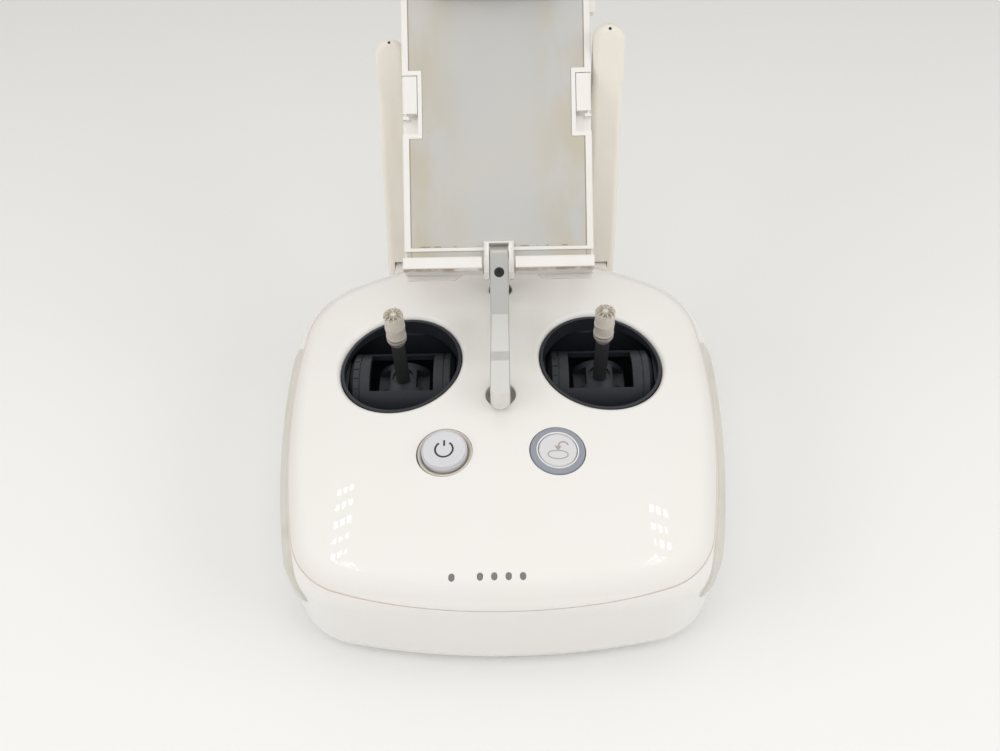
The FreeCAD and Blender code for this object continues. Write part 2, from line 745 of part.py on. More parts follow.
def build_boards():
    """Circuit boards: the main board under the front of the panel and the radio board at the far wall."""
    board = new_body("main_board", on_panel())
    sketch = new_sketch(board, "XY_Plane", -22.0)
    draw_polygon(sketch, [(-52, -46), (52, -46), (66, -30), (66, 16), (-66, 16), (-66, -30)])
    add_pad(board, sketch, 1.6)
    dome = new_sketch(board, "XY_Plane", -20.4)
    for side in (-1, 1):
        draw_rectangle(dome, d.button_x * side - 3, -3, d.button_x * side + 3, 3)
    draw_rectangle(dome, -9, -36, 9, -18)
    draw_rectangle(dome, -48, -30, -34, -20)
    draw_rectangle(dome, 34, -30, 48, -20)
    add_pad(board, dome, 2.4)
    holes = new_sketch(board, "XY_Plane", -22.0)
    for side in (-1, 1):
        draw_circle(holes, side * 57, -35, 4.4)
    add_pocket(board, holes, 5, middle=True)
    switch = new_body("button_switches", on_panel())
    caps = new_sketch(switch, "XY_Plane", -17.9)
    for side in (-1, 1):
        draw_circle(caps, d.button_x * side, 0, 2.0)
    add_pad(switch, caps, 6.6)
    radio = new_body("radio_board", on_panel())
    sheet_sketch = new_sketch(radio, "XY_Plane", -52.0)
    draw_rectangle(sheet_sketch, -30, 67.5, 30, 94)
    add_pad(radio, sheet_sketch, 1.6)
    shield = new_sketch(radio, "XY_Plane", -50.4)
    draw_rectangle(shield, -22, 70, 22, 86)
    add_pad(radio, shield, 3.0)
    return [board, switch, radio]


def build_battery():
    body = block("battery_pack", on_panel(), -36, 36, -44, 14, -53, -30, 3.0)
    return body


# ---------------------------------------------------------------- gimbals


def well_place(side):
    return on_panel(side * cell("well_x"), cell("well_y"), -cell("pivot_depth"))


def build_gimbal_housing(name, side):
    """Box that carries the drum, with a round trim lip that follows the crown just under it."""
    body = new_body(f"{name}_gimbal_box", well_place(side))
    outline = new_sketch(body, "XY_Plane", -22.0)
    draw_rectangle(outline, -29.6, -20.4, 29.6, 23.6)
    add_pad(body, outline, 35.4)
    ring = new_sketch(body, "XY_Plane", 8.0)
    draw_circle(ring, 0, 0, d.well_radius - d.fit_gap)
    add_pad(body, ring, 16.0)
    hollow = new_sketch(body, "XY_Plane", -19.6)
    draw_rectangle(hollow, -26.4, -d.drum_radius - 0.9, 26.4, d.drum_radius + 4.9)
    add_pocket(body, hollow, 30.0, reverse=True)
    window = new_sketch(body, "XY_Plane", 5.0)
    draw_rectangle(window, -d.drum_half - 0.6, -d.drum_radius - 0.9, d.drum_half + 0.6, d.drum_radius + 4.9)
    add_pocket(body, window, 8.6, reverse=True)
    mouth = new_sketch(body, "XY_Plane", 12.6)
    draw_circle(mouth, 0, 0, d.well_radius - d.fit_gap - 1.2)
    add_pocket(body, mouth, 12.0, reverse=True)
    bore = new_sketch(body, "YZ_Plane")
    draw_circle(bore, 0, 0, d.axle_radius + d.running_gap)
    add_pocket(body, bore, 70.0, middle=True)
    housing = doc.addObject("Part::Common", f"{name}_gimbal_housing")
    housing.Label = f"{name}_gimbal_housing"
    housing.Base = body
    housing.Tool = feature(f"{name}_lip_limit", crown_solid(1.3), PANEL)
    return housing


def build_gimbal_drum(name, side):
    """Outer gimbal frame: a drum about the x axis with a window, tick marks and two axles."""
    radius = d.drum_radius
    half = d.drum_half
    bore = d.drum_bore
    axle = d.axle_radius
    groove = 0.45
    profile = [
        (Size(-29.2), Size(0)), (Size(-29.2), axle), (-half, axle), (-half, radius - 3.0),
        (-half + 1.9, radius), (Size(-17.2), radius), (Size(-17.2), radius - groove),
        (Size(-16.6), radius - groove), (Size(-16.6), radius), (Size(16.6), radius),
        (Size(16.6), radius - groove), (Size(17.2), radius - groove), (Size(17.2), radius),
        (half - 1.9, radius), (half, radius - 3.0), (half, axle), (Size(29.2), axle), (Size(29.2), Size(0)),
        (bore, Size(0)), (bore, bore), (-bore, bore), (-bore, Size(0))]
    body = new_body(f"{name}_gimbal_drum", well_place(side))
    sketch = new_sketch(body, "XY_Plane")
    draw_polygon(sketch, profile)
    add_turn(body, sketch, "H_Axis")
    window = new_sketch(body, "XY_Plane", 4.0)
    draw_rectangle(window, -12.9, -9.2, 12.9, 9.2)
    add_pocket(body, window, 20, reverse=True)
    pins = new_sketch(body, "XZ_Plane")
    draw_circle(pins, 0, 0, d.pin_radius + d.running_gap)
    add_pocket(body, pins, 40, middle=True)
    tick = new_sketch(body, "XY_Plane", radius - 0.35)
    draw_rectangle(tick, -19.3, -0.3, -17.5, 0.3)
    mark = add_pocket(body, tick, 2, reverse=True)
    add_ring_pattern(body, mark, "X_Axis", 24)
    return body


def build_saddle(name, side):
    """Inner gimbal: a half-round saddle about the y axis on a pin, with a socket for the stick."""
    body = new_body(f"{name}_stick_saddle", well_place(side))
    pin = new_sketch(body, "XZ_Plane")
    draw_circle(pin, 0, 0, d.pin_radius)
    add_pad(body, pin, 33.0, middle=True)
    drum = new_sketch(body, "XZ_Plane")
    draw_circle(drum, 0, 0, d.saddle_radius)
    add_pad(body, drum, d.saddle_half * 2, middle=True)
    trim = new_sketch(body, "XZ_Plane")
    draw_polygon(trim, [(-14, -14), (14, -14), (14, 2), (5.2, -3.2), (-5.2, -3.2), (-14, 2)])
    add_pocket(body, trim, d.saddle_half * 2 + 1, middle=True)
    hub = new_sketch(body, "XZ_Plane")
    draw_circle(hub, 0, 0, 4.6)
    add_pad(body, hub, d.saddle_half * 2, middle=True)
    for left, right in ((-11, -5.4), (5.4, 11)):
        relief = new_sketch(body, "XY_Plane", 6.0)
        draw_rectangle(relief, left, -4.6, right, 4.6)
        add_pocket(body, relief, 9, reverse=True)
    dish = new_sketch(body, "XY_Plane", 10.4)
    draw_circle(dish, 0, 0, 4.4)
    add_pocket(body, dish, 5, reverse=True)
    socket = new_sketch(body, "XY_Plane", 5.0)
    draw_circle(socket, 0, 0, d.shaft_radius + d.running_gap)
    add_pocket(body, socket, 12, reverse=True)
    return body


def build_stick(name, side):
    """Stick shaft with its threaded stud, tapered lock collar and toothed tip."""
    place = well_place(side)
    pivot = d.pivot_depth
    shaft = d.shaft_radius
    stud = d.stud_radius
    shoulder = pivot + d.collar_bottom
    shaft_body = turned(f"{name}_stick_shaft", place, [
        (Size(0), Size(5.2)), (shaft, Size(5.2)), (shaft, shoulder - 0.1), (stud, shoulder - 0.1),
        (stud, pivot + 20.5), (stud - 0.4, pivot + 21.0), (Size(0), pivot + 21.0)])
    radius = d.tip_radius
    low = pivot + d.tip_bottom
    bore = stud + 0.06
    collar = turned(f"{name}_stick_collar", place, [
        (bore, shoulder), (shaft + 0.1, shoulder), (radius - 0.1, low - 1.0), (radius - 0.1, low - 0.1),
        (bore, low - 0.1)])
    top = pivot + d.tip_top
    ring_low = low + 1.7
    ring_high = top - 2.7
    groove = 0.25
    tip = turned(f"{name}_stick_tip", place, [
        (bore, low), (radius - 0.15, low), (radius, low + 0.15),
        (radius, ring_low - 0.3), (radius - groove, ring_low), (radius - groove, ring_low + 0.3),
        (radius, ring_low + 0.6), (radius, ring_high - 0.3), (radius - groove, ring_high),
        (radius - groove, ring_high + 0.3), (radius, ring_high + 0.6), (radius - 0.1, top - 0.5),
        (radius - 0.6, top), (radius - 1.7, top - 0.3), (Size(1.9), top - 1.9), (Size(1.5), top - 1.2),
        (Size(0.8), top - 0.75), (Size(0), top - 0.65), (Size(0), top - 3.4), (bore, top - 3.4)])
    gap = new_sketch(tip, "XZ_Plane")
    draw_polygon(gap, [(1.95, top - 1.9), (5.0, top - 2.3), (5.0, top + 1.0), (1.95, top + 1.0)])
    notch = add_pocket(tip, gap, 0.95, middle=True)
    add_ring_pattern(tip, notch, "Z_Axis", 12)
    return [shaft_body, collar, tip]


def build_gimbal_spring(name, side):
    """Centring spring wound round the drum's outer axle."""
    body = new_body(f"{name}_gimbal_spring", well_place(side).multiply(Placement(Vector(side * 22.7, 0, 0),
                                                                       Rotation(Y_AXIS, side * 90))))
    sketch = new_sketch(body, "XZ_Plane")
    draw_circle(sketch, 4.6, 0.4, 0.35)
    coil = body.newObject("PartDesign::AdditiveHelix", "Coil")
    coil.Profile = sketch
    coil.ReferenceAxis = (sketch, ["V_Axis"])
    coil.Mode = "pitch-height-angle"
    coil.Pitch = 0.9
    coil.Height = 2.7
    coil.Angle = 0
    body.Tip = coil
    return body


# ---------------------------------------------------------------- handle bar


def build_handle_bar():
    """Bent flat bar from the front recess up to the holder's pivot."""
    level = cell("bar_level")
    thick = 3.6
    pivot = Vector(0, cell("pivot_y"), cell("pivot_z"))
    knuckle = cell("knuckle_radius")
    lean = math.radians(34.8)
    normal = Vector(0, -math.sin(lean), math.cos(lean))
    along = Vector(0, math.cos(lean), math.sin(lean))
    crest = pivot + normal * knuckle
    bend = 57.6
    rise = crest - along * ((crest.y - bend) / along.y)
    under = crest - normal * thick
    low_bend = under - along * ((under.y - bend - 1.0) / along.y)
    front = cell("foot_front")
    post_near = cell("recess_y") - 4.2
    post_far = cell("recess_y") + 4.2
    floor = -cell("recess_floor") + 0.05
    points = [
        Vector(0, front, 2.5), Vector(0, front, level), Vector(0, 33.2, level), Vector(0, 38.5, level - 0.8),
        rise, crest]
    lower = [
        under, low_bend, Vector(0, 39.0, level - 0.8 - thick), Vector(0, 34.6, level - thick),
        Vector(0, post_far, level - thick - 3.5), Vector(0, post_far, floor), Vector(0, post_near, floor),
        Vector(0, post_near, 2.5), Vector(0, front, 2.5)]
    back = pivot + along * knuckle
    arc = Part.Arc(crest, back, pivot - normal * knuckle).toShape()
    tail = pivot - normal * knuckle
    joint = tail - along * 2.0
    edges = Part.makePolygon(points).Edges + [arc]
    edges += Part.makePolygon([tail, joint] + lower).Edges
    half = cell("bar_half")
    face = Part.Face(Part.Wire(edges))
    face.translate(Vector(-half, 0, 0))
    bar = face.extrude(Vector(2 * half, 0, 0))
    tip_round = column(half, -20, 20, 0, front + half)
    keep = Part.makeBox(2 * half + 2, 4.3, 40, Vector(-half - 1, front - 1, -20)).cut(tip_round)
    bar = bar.cut(keep)
    post = column(4.2, -10, level - thick - 0.2, 0, cell("recess_y")).common(slab(floor, 20))
    slim = Part.makeBox(20, 12, 40, Vector(-10, post_near - 1, -30)).common(slab(-30, 2.5)).cut(post)
    bar = bar.cut(slim)
    soft = [edge for edge in bar.Edges if is_lengthwise(edge)]
    bar = bar.makeFillet(0.6, soft)
    bar = bar.cut(rod(pivot - X_AXIS * 10, X_AXIS, 20, cell("pivot_pin") + 0.05))
    hole_at = crest - along * ((crest.y - 71.5) / along.y)
    bar = bar.cut(rod(hole_at - normal * 10, normal, 20, 1.3))
    bar = bar.cut(rod(hole_at - normal * 1.8, normal, 10, 2.05))
    piece = feature("handle_bar", bar.removeSplitter(), PANEL)
    return piece, hole_at, normal


def is_lengthwise(edge):
    """An upper side edge of the handle bar: straight, on a side face and running along the bar."""
    if not isinstance(edge.Curve, Part.Line):
        return False
    if abs(edge.Curve.Direction.x) > 0.01 or edge.CenterOfMass.z < 9.5:
        return False
    slope = edge.Curve.Direction
    above = 11.2 if edge.CenterOfMass.y < 57 else 11.2 + (edge.CenterOfMass.y - 57) * 0.55
    return abs(slope.y) > 0.5 and edge.CenterOfMass.z > above - 0.3 and edge.Length > 3


def build_hinge_bracket(hole_at, normal):
    """Bracket under the bar that stands in the rear recess, with a threaded hole for the screw."""
    bracket = new_body("hinge_bracket", on_panel())
    sketch = new_sketch(bracket, "YZ_Plane")
    floor = -d.recess_floor + 0.05
    draw_polygon(sketch, [
        (66.4, 12.9), (75.0, 18.9), (76.6, 18.2), (86.2, 18.2), (87.3, 16.5), (87.3, floor), (81.1, floor),
        (81.1, 7.0), (78.4, 12.2), (73.6, 14.2), (68.0, 10.9)])
    add_pad(bracket, sketch, 7.2, middle=True)
    thread = new_sketch(bracket, "XY_Plane", hole_at.z)
    thread.AttachmentOffset = Placement(hole_at, Rotation(Z_AXIS, normal))
    draw_circle(thread, 0, 0, 1.25)
    add_pocket(bracket, thread, 8.0)
    return bracket


def build_handle_screw(hole_at, normal):
    place = PANEL.multiply(Placement(hole_at - normal * 0.6, Rotation(Z_AXIS, normal)))
    screw = turned("handle_screw", place, [
        (Size(0), Size(-5.8)), (Size(1.2), Size(-5.8)), (Size(1.2), Size(-1.15)), (Size(1.95), Size(-1.15)),
        (Size(1.95), Size(-0.1)), (Size(1.75), Size(0.1)), (Size(0), Size(0.1))])
    socket = new_sketch(screw, "XY_Plane", -0.7)
    draw_polygon(socket, [(math.cos(k * math.pi / 3), math.sin(k * math.pi / 3)) for k in range(6)])
    add_pocket(screw, socket, 2, reverse=True)
    return screw


# ---------------------------------------------------------------- phone holder


def holder_profile(points, left, right):
    """Prism along x from a closed side profile of (y, z) points in the holder frame."""
    ring = [Vector(left, y, z) for y, z in points]
    face = Part.Face(Part.makePolygon(ring + ring[:1]))
    return face.extrude(Vector(right - left, 0, 0))


def flat_plate(points, low, high):
    """Prism along z from a closed plan outline in the holder frame."""
    ring = [Vector(x, y, low) for x, y in points]
    return Part.Face(Part.makePolygon(ring + ring[:1])).extrude(Vector(0, 0, high - low))


def holder_box(left, right, low, high, back, front):
    return Part.makeBox(right - left, high - low, front - back, Vector(left, low, back))


def pad_outline(shrink):
    """Plan of the pad: a rectangle with a notch on each side and a notch over the yoke."""
    half = cell("pad_half") - shrink
    notch = cell("notch_half") - shrink
    low = cell("notch_low") - shrink
    high = cell("notch_high") + shrink
    top = cell("pad_top") - shrink
    yoke = cell("yoke_half") + 0.25 + shrink
    yoke_top = cell("yoke_top") + 0.25 + shrink
    right = [(yoke, shrink), (half, shrink), (half, low), (notch, low)]
    right += [(notch, high), (half, high), (half, top)]
    left = [(-x, y) for x, y in reversed(right)]
    return right + left + [(-yoke, yoke_top), (yoke, yoke_top)]


def build_tray():
    half = cell("tray_half")
    rim = cell("rim_height")
    thick = cell("tray_thick")
    top = cell("tray_top")
    tray = holder_box(-half, half, -10.6, top, -thick, rim)
    upright = [edge for edge in tray.Edges if isinstance(edge.Curve, Part.Line)
               and abs(edge.Curve.Direction.z) > 0.9 and edge.CenterOfMass.y > 50]
    tray = tray.makeFillet(5.0, upright)
    front = [edge for edge in tray.Edges if edge.CenterOfMass.z > rim - 0.01 and edge.CenterOfMass.y > -5]
    tray = tray.makeFillet(0.6, front)
    ledge_out = cell("ledge_depth")
    floor = -cell("ledge_floor")
    lip = -cell("ledge_lip")
    ledge = [(-10.6, -1.0), (-10.6, ledge_out - 1.6), (-9.6, ledge_out), (lip - 0.8, ledge_out),
             (lip, ledge_out - 0.8), (lip, ledge_out - 1.8),
             (lip - 0.8, ledge_out - 2.5), (floor, ledge_out - 2.7),
             (floor, -1.0)]
    ledge_end = half - 0.8
    for sign in (-1, 1):
        left, right = sorted((sign * 6.6, sign * ledge_end))
        tray = tray.fuse(holder_profile(ledge, left, right))
    tray = tray.cut(holder_box(-half - 1, half + 1, floor, -1.5, -0.9, 6.0))
    yoke = cell("yoke_half")
    cheek = [(-10.5, -cell("tray_thick")), (-13.0, -4.5), (-13.0, 0.5), (-10.5, 3.0),
             (-3.0, 4.2), (1.4, 3.0),
             (cell("yoke_top"), 1.6), (cell("yoke_top"), -cell("tray_thick"))]
    cheeks = holder_profile(cheek, -yoke, yoke)
    corners = [edge for edge in cheeks.Edges if edge.CenterOfMass.y > -1
               and abs(abs(edge.CenterOfMass.x) - yoke) < 0.01]
    tray = tray.fuse(cheeks.makeFillet(1.8, corners))
    slot = cell("slot_half")
    tray = tray.cut(holder_box(-slot, slot, -20, cell("slot_top"), -20, 20))
    tray = tray.cut(flat_plate(pad_outline(-0.1), -1.0, 5.0).cut(holder_box(-yoke, yoke, -20, 2.2, -10, 10)))
    for sign in (-1, 1):
        pocket = cell("pocket_half")
        left, right = sorted((sign * pocket, sign * (half + 1)))
        tray = tray.cut(holder_box(left, right, cell("tab_low") - 1.3, cell("tab_high") + 0.3, -5.0, 5.0))
        tray = tray.cut(holder_box(left, right, cell("notch_low") + 2, cell("tab_low") - 2.3, -3.4, 5.0))
        bar = sorted((sign * (pocket), sign * (half - 2.6)))
        tray = tray.cut(holder_box(bar[0], bar[1], cell("tab_low") - 3, cell("tab_low"), -3.4, 5.0))
        hinge = Vector(sign * tab_hinge_x(), cell("tab_low") - 4, -1.0)
        tray = tray.cut(rod(hinge, Y_AXIS, 25, 0.6 + 0.05))
    jaw = cell("jaw_half") + 0.3
    tray = tray.cut(holder_box(-jaw, jaw, cell("jaw_low") - 0.3, top + 1, -8, 5))
    tray = tray.cut(holder_box(-20.4, 20.4, 20, top + 1, -8, -4.0))
    tray = tray.cut(holder_box(32.0, half + 1, 93.6, 102.4, -6.1, -1.4))
    tray = tray.cut(rod(pivot_in_holder() - X_AXIS * 10, X_AXIS, 20, cell("pivot_pin") + 0.05))
    return feature("holder_tray", tray.removeSplitter(), HOLDER)


def tab_hinge_x():
    return 36.9


def pivot_in_holder():
    world = PANEL.multVec(Vector(0, cell("pivot_y"), cell("pivot_z")))
    return HOLDER.inverse().multVec(world)


def build_pad():
    pad = flat_plate(pad_outline(0.0), -0.95, cell("pad_thick") - 0.95)
    return feature("holder_pad", pad, HOLDER)


def build_ledge_pads():
    """Two grey strips beside the yoke, each up the wall under the pad and out along the ledge floor."""
    pads = []
    floor = -cell("ledge_floor") + 0.05
    for sign in (-1, 1):
        left, right = sorted((sign * 6.9, sign * 36.9))
        along_floor = holder_box(left, right, floor, floor + 0.8, -0.85, cell("ledge_depth") - 2.9)
        up_wall = holder_box(left, right, floor, -1.55, -0.85, -0.1)
        pads.append(along_floor.fuse(up_wall).removeSplitter())
    return feature("ledge_pads", Part.makeCompound(pads), HOLDER)


def build_back_cover():
    """Cover behind the tray, cut away at its lower edge round the handle bar."""
    half = cell("tray_half") - 0.3
    back = -cell("tray_thick") - cell("cover_thick")
    cover = holder_box(-half, half, -12.4, 104.0, back, -cell("tray_thick") - 0.1)
    rounded = [edge for edge in cover.Edges if edge.CenterOfMass.z < back + 0.1]
    rounded += [edge for edge in cover.Edges if isinstance(edge.Curve, Part.Line)
                and abs(edge.Curve.Direction.z) > 0.9 and edge.CenterOfMass.y > 50]
    cover = cover.makeFillet(3.5, rounded)
    relief = [(-20.0, -14.0), (20.0, -14.0), (15.0, -9.8), (-15.0, -9.8)]
    cover = cover.cut(flat_plate(relief, -30.0, 20.0))
    cover = cover.cut(holder_box(-6.35, 6.35, -20, 5.6, -30, 20))
    inside = holder_box(-half + 2, half - 2, 6.5, 102.0, back + 2, -5.0)
    return feature("holder_back_cover", cover.cut(inside).removeSplitter(), HOLDER)


def build_clamp():
    """Sliding clamp: a jaw over the top of the tray on a plate that runs behind it."""
    half = cell("jaw_half")
    low = cell("jaw_low")
    jaw = [(low, -6.8), (low, 9.6), (low - 2.4, 10.2), (low - 2.6, 12.3),
           (low - 1.6, 13.0), (low + 6.0, 13.0),
           (low + 8.6, 10.0), (low + 8.8, -5.0), (low + 7.6, -6.8)]
    clamp = holder_profile(jaw, -half, half)
    plate = holder_box(-20, 20, 28, low + 5, -6.8, -4.4)
    clamp = clamp.fuse(plate)
    return feature("holder_clamp", clamp.removeSplitter(), HOLDER)


def build_clamp_pad():
    half = cell("jaw_half") - 1.0
    low = cell("jaw_low")
    return feature("clamp_pad", holder_box(-half, half, low - 0.65, low - 0.05, 0.8, 9.4), HOLDER)


def build_release():
    return block("clamp_release_button", on_holder(0, 0, 0), 34.0, 40.2, 94.0, 102.0, -5.8, -1.7, 0.8)


def build_tab(name, side):
    """Side tab that swings up about a small pin at its outer edge."""
    inner, outer = sorted((side * (cell("pocket_half") + 0.3), side * (cell("tray_half") - 0.1)))
    low = cell("tab_low")
    high = cell("tab_high")
    tab = holder_box(inner, outer, low, high, -2.1, 0.3)
    pin = rod(Vector(side * tab_hinge_x(), low - 1.2, -1.0), Y_AXIS, high - low + 2.4, 0.6)
    outer_x = side * (cell("tray_half") - 0.1)
    rounded = [edge for edge in tab.Edges if abs(edge.CenterOfMass.x - outer_x) < 0.01
               and abs(edge.CenterOfMass.y - (low + high) / 2) < 0.1]
    tab = tab.makeFillet(1.0, rounded)
    return feature(f"{name}_holder_tab", tab.fuse(pin).removeSplitter(), HOLDER)


def build_pivot_pin():
    pin = turned("holder_pivot_pin", on_panel(0, cell("pivot_y"), cell("pivot_z"), Rotation(Y_AXIS, 90)), [
        (Size(0), Size(-5.9)), (d.pivot_pin, Size(-5.9)), (d.pivot_pin, Size(5.9)), (Size(0), Size(5.9))])
    return pin


# ---------------------------------------------------------------- antennas


def antenna_pivot(side):
    return Vector(side * cell("antenna_x"), cell("antenna_y"), -cell("antenna_drop"))


def build_antenna(name, side):
    """Flat blade with a round tip and a forked round foot that turns about the x axis."""
    lift = cell(f"{name}_antenna_lift")
    reach = cell(f"{name}_antenna_reach")
    place = PANEL.multiply(Placement(antenna_pivot(side), Rotation(X_AXIS, lift)))
    width = cell("antenna_width")
    thick = cell("antenna_thick")
    round_tip = width / 2
    blade = Part.makeBox(width, reach - round_tip, thick, Vector(-width / 2, 0, -thick / 2))
    tip = Part.makeCylinder(round_tip, thick, Vector(0, reach - round_tip, -thick / 2), Z_AXIS)
    foot = rod(Vector(-width / 2, 0, 0), X_AXIS, width, thick / 2)
    blade = blade.fuse(tip).fuse(foot).removeSplitter()
    blade = blade.makeFillet(2.6, blade.Edges)
    slot = cell("lug_half") + cell("fit_gap")
    antenna = blade.cut(Part.makeBox(2 * slot, 11.1, 12.0, Vector(-slot, -6.4, -6.0)))
    antenna = antenna.cut(rod(Vector(-10, 0, 0), X_AXIS, 20, 1.25 + 0.05))
    antenna = antenna.cut(rod(Vector(0, reach - 2.2, 0), Y_AXIS, 5, 0.5))
    return feature(f"{name}_antenna", antenna.removeSplitter(), place)


def build_antenna_mount(name, side, outside):
    """Round-ended lug on the far wall that the antenna's fork straddles."""
    pivot = antenna_pivot(side)
    half = cell("lug_half")
    nose = 4.3
    lug = rod(pivot - X_AXIS * half, X_AXIS, 2 * half, nose)
    root = Part.makeBox(2 * half, 14.0, 2 * nose, Vector(pivot.x - half, pivot.y - 14.0, pivot.z - nose))
    web = Part.makeBox(2 * half, 14.0, 8.0, Vector(pivot.x - half, pivot.y - 14.0, pivot.z - nose - 8.0))
    slope = rod(pivot + Vector(-half - 1, 5.0, -nose - 8.0), X_AXIS, 2 * half + 2, 8.2)
    mount = lug.fuse(root).fuse(web.cut(slope)).cut(outside)
    mount = mount.cut(rod(pivot - X_AXIS * 12, X_AXIS, 24, 1.25 + 0.05))
    solids = sorted(mount.Solids, key=lambda solid: solid.Volume)
    return feature(f"{name}_antenna_mount", solids[-1], PANEL)


def build_antenna_pin(name, side):
    pivot = antenna_pivot(side)
    place = on_panel(pivot.x, pivot.y, pivot.z, Rotation(Y_AXIS, 90))
    return turned(f"{name}_antenna_pin", place, [
        (Size(0), Size(-6.1)), (Size(1.25), Size(-6.1)), (Size(1.25), Size(6.1)), (Size(0), Size(6.1))])


# ---------------------------------------------------------------- shoulder, rear and underside controls


def build_dial(name, side):
    centre = dial_centre(side)
    place = on_panel(centre.x, centre.y, -cell("dial_depth"))
    radius = d.dial_radius
    half = d.dial_thick / 2
    body = turned(f"{name}_dial", place, [
        (Size(0), -half), (radius - 0.8, -half), (radius, -half + 0.8),
        (radius, half - 0.8), (radius - 0.8, half),
        (Size(0), half)])
    notch = new_sketch(body, "XY_Plane", -half)
    draw_rectangle(notch, radius - 0.5, -0.5, radius + 1, 0.5)
    cut = add_pocket(body, notch, half * 2, reverse=True)
    add_ring_pattern(body, cut, "Z_Axis", 30)
    return body


def build_shoulder_button(label, side):
    point, outward = corner_place(side, cell("shoulder_angle"), cell("far_corner"))
    spot = Vector(point.x, point.y, -cell("dial_depth"))
    place = PANEL.multiply(Placement(spot, Rotation(Z_AXIS, outward)))
    return push_button(label, place, d.shoulder_radius, 1.6, 5.5)


def push_button(label, place, radius, proud, depth):
    """Round button cap about local z, proud of the casing, with a flange behind the wall."""
    return turned(label, place, [
        (Size(0), Size(-depth)), (radius, Size(-depth)),
        (radius, Size(proud - 0.5)), (radius - 0.5, Size(proud)),
        (Size(0), Size(proud - 0.15))])


def build_rear_controls():
    x = cell("rear_button_x")
    wall_y = FAR.y + math.sqrt(cell("far_radius") ** 2 - x ** 2)
    place = on_panel(x, wall_y, -cell("dial_depth"), Rotation(X_AXIS, -90))
    button = push_button("playback_button", place, d.shoulder_radius, 1.6, 5.5)
    place = on_panel(-x, wall_y, -cell("dial_depth"))
    switch = block("mode_switch", place, -2.3, 2.3, -5.0, 2.2, -2.2, 2.2, 0.0)
    add_fillet(switch, 0.6, lambda edge: edge.CenterOfMass.y > 2.1)
    return [button, switch]


def build_base_buttons():
    rotation = Rotation(Z_AXIS, slope_point(0, 60)[1])
    pieces = []
    for label, side in (("c1_button", -1), ("c2_button", 1)):
        spot = slope_point(side * cell("base_button_x"), cell("base_button_y"))[0]
        pieces.append(push_button(label, Placement(spot, rotation), d.base_button_radius, 1.3, 5.0))
    return pieces


def build_ports(outer):
    """Port panel in the far wall, with a USB socket, a small USB socket and the charging socket."""
    wall_face = cell("far_edge")
    panel = port_box(0.0, wall_face - 8.0, wall_face + 6.0).common(outer)
    panel = panel.cut(port_box(-1.6, wall_face - 14.0, wall_face - 2.8))
    usb = Part.makeBox(14.7, 30, 7.3, Vector(-7.35, wall_face - 19, -30.35))
    micro = Part.makeBox(8.3, 30, 3.3, Vector(-12.15, wall_face - 19, -41.35))
    power = rod(Vector(8.0, wall_face - 19, -39.7), Y_AXIS, 30, 3.45)
    for opening in (usb, micro, power):
        panel = panel.cut(opening)
    pieces = [feature("rear_port_panel", panel, PANEL)]
    face = wall_face - 2.4
    body = Part.makeBox(14.5, 14, 7.1, Vector(-7.25, face - 14, -30.25))
    mouth = Part.makeBox(13.1, 12, 5.7, Vector(-6.55, face - 11, -29.55))
    tongue = Part.makeBox(11.0, 9, 1.8, Vector(-5.5, face - 11, -27.0))
    pieces.append(feature("usb_a_port", body.cut(mouth).fuse(tongue), PANEL))
    body = Part.makeBox(8.1, 6, 3.1, Vector(-12.05, face - 6, -41.25))
    mouth = Part.makeBox(7.3, 5, 2.3, Vector(-11.65, face - 4.6, -40.85))
    tongue = Part.makeBox(4.0, 4, 0.6, Vector(-10.0, face - 5.5, -39.8))
    pieces.append(feature("micro_usb_port", body.cut(mouth).fuse(tongue), PANEL))
    centre = Vector(8.0, face - 11, -39.7)
    jack = rod(centre, Y_AXIS, 11, 3.35).cut(rod(centre + Y_AXIS * 1.5, Y_AXIS, 11, 2.75))
    jack = jack.fuse(rod(centre, Y_AXIS, 9, 0.6))
    pieces.append(feature("charge_port", jack, PANEL))
    return pieces


# ---------------------------------------------------------------- assembly and export


def build_all():
    outer = casing_block(0.0)
    inner = casing_block(cell("wall"))
    pieces = [build_top_shell(outer, inner), build_bottom_shell(outer, inner)]
    pieces += build_grips()
    pieces += build_power_button() + build_home_button()
    pieces.append(build_status_lights())
    pieces += build_boards()
    pieces.append(build_battery())
    for name, side in SIDES:
        pieces.append(build_gimbal_housing(name, side))
        pieces.append(build_gimbal_drum(name, side))
        pieces.append(build_saddle(name, side))
        pieces += build_stick(name, side)
        pieces.append(build_gimbal_spring(name, side))
        pieces.append(build_antenna(name, side))
        pieces.append(build_antenna_mount(name, side, casing_block(-0.1)))
        pieces.append(build_antenna_pin(name, side))
        pieces.append(build_dial(name, side))
        pieces.append(build_tab(name, side))
    pieces.append(build_shoulder_button("record_button", -1))
    pieces.append(build_shoulder_button("shutter_button", 1))
    bar, hole_at, normal = build_handle_bar()
    pieces += [bar, build_hinge_bracket(hole_at, normal), build_handle_screw(hole_at, normal)]
    pieces += [build_tray(), build_pad(), build_ledge_pads(), build_back_cover(), build_clamp(), build_clamp_pad()]
    pieces += [build_release(), build_pivot_pin()]
    pieces += build_rear_controls() + build_base_buttons() + build_ports(outer)
    pieces.append(build_case_screws())
    return pieces


def check(pieces):
    doc.recompute()
    for item in doc.Objects:
        if "Invalid" in item.State or "Error" in item.State:
            raise RuntimeError(f"{item.Label} failed: {item.State}")
    for piece in pieces:
        shape = piece.Shape
        if shape.isNull() or not shape.isValid() or not shape.Solids:
            raise RuntimeError(f"{piece.Label} has no valid solid")


def export(pieces):
    os.makedirs("parts", exist_ok=True)
    for piece in pieces:
        piece.Shape.exportStep(f"parts/{piece.Label}.step")
        print(piece.Label, len(piece.Shape.Solids), round(piece.Shape.Volume))


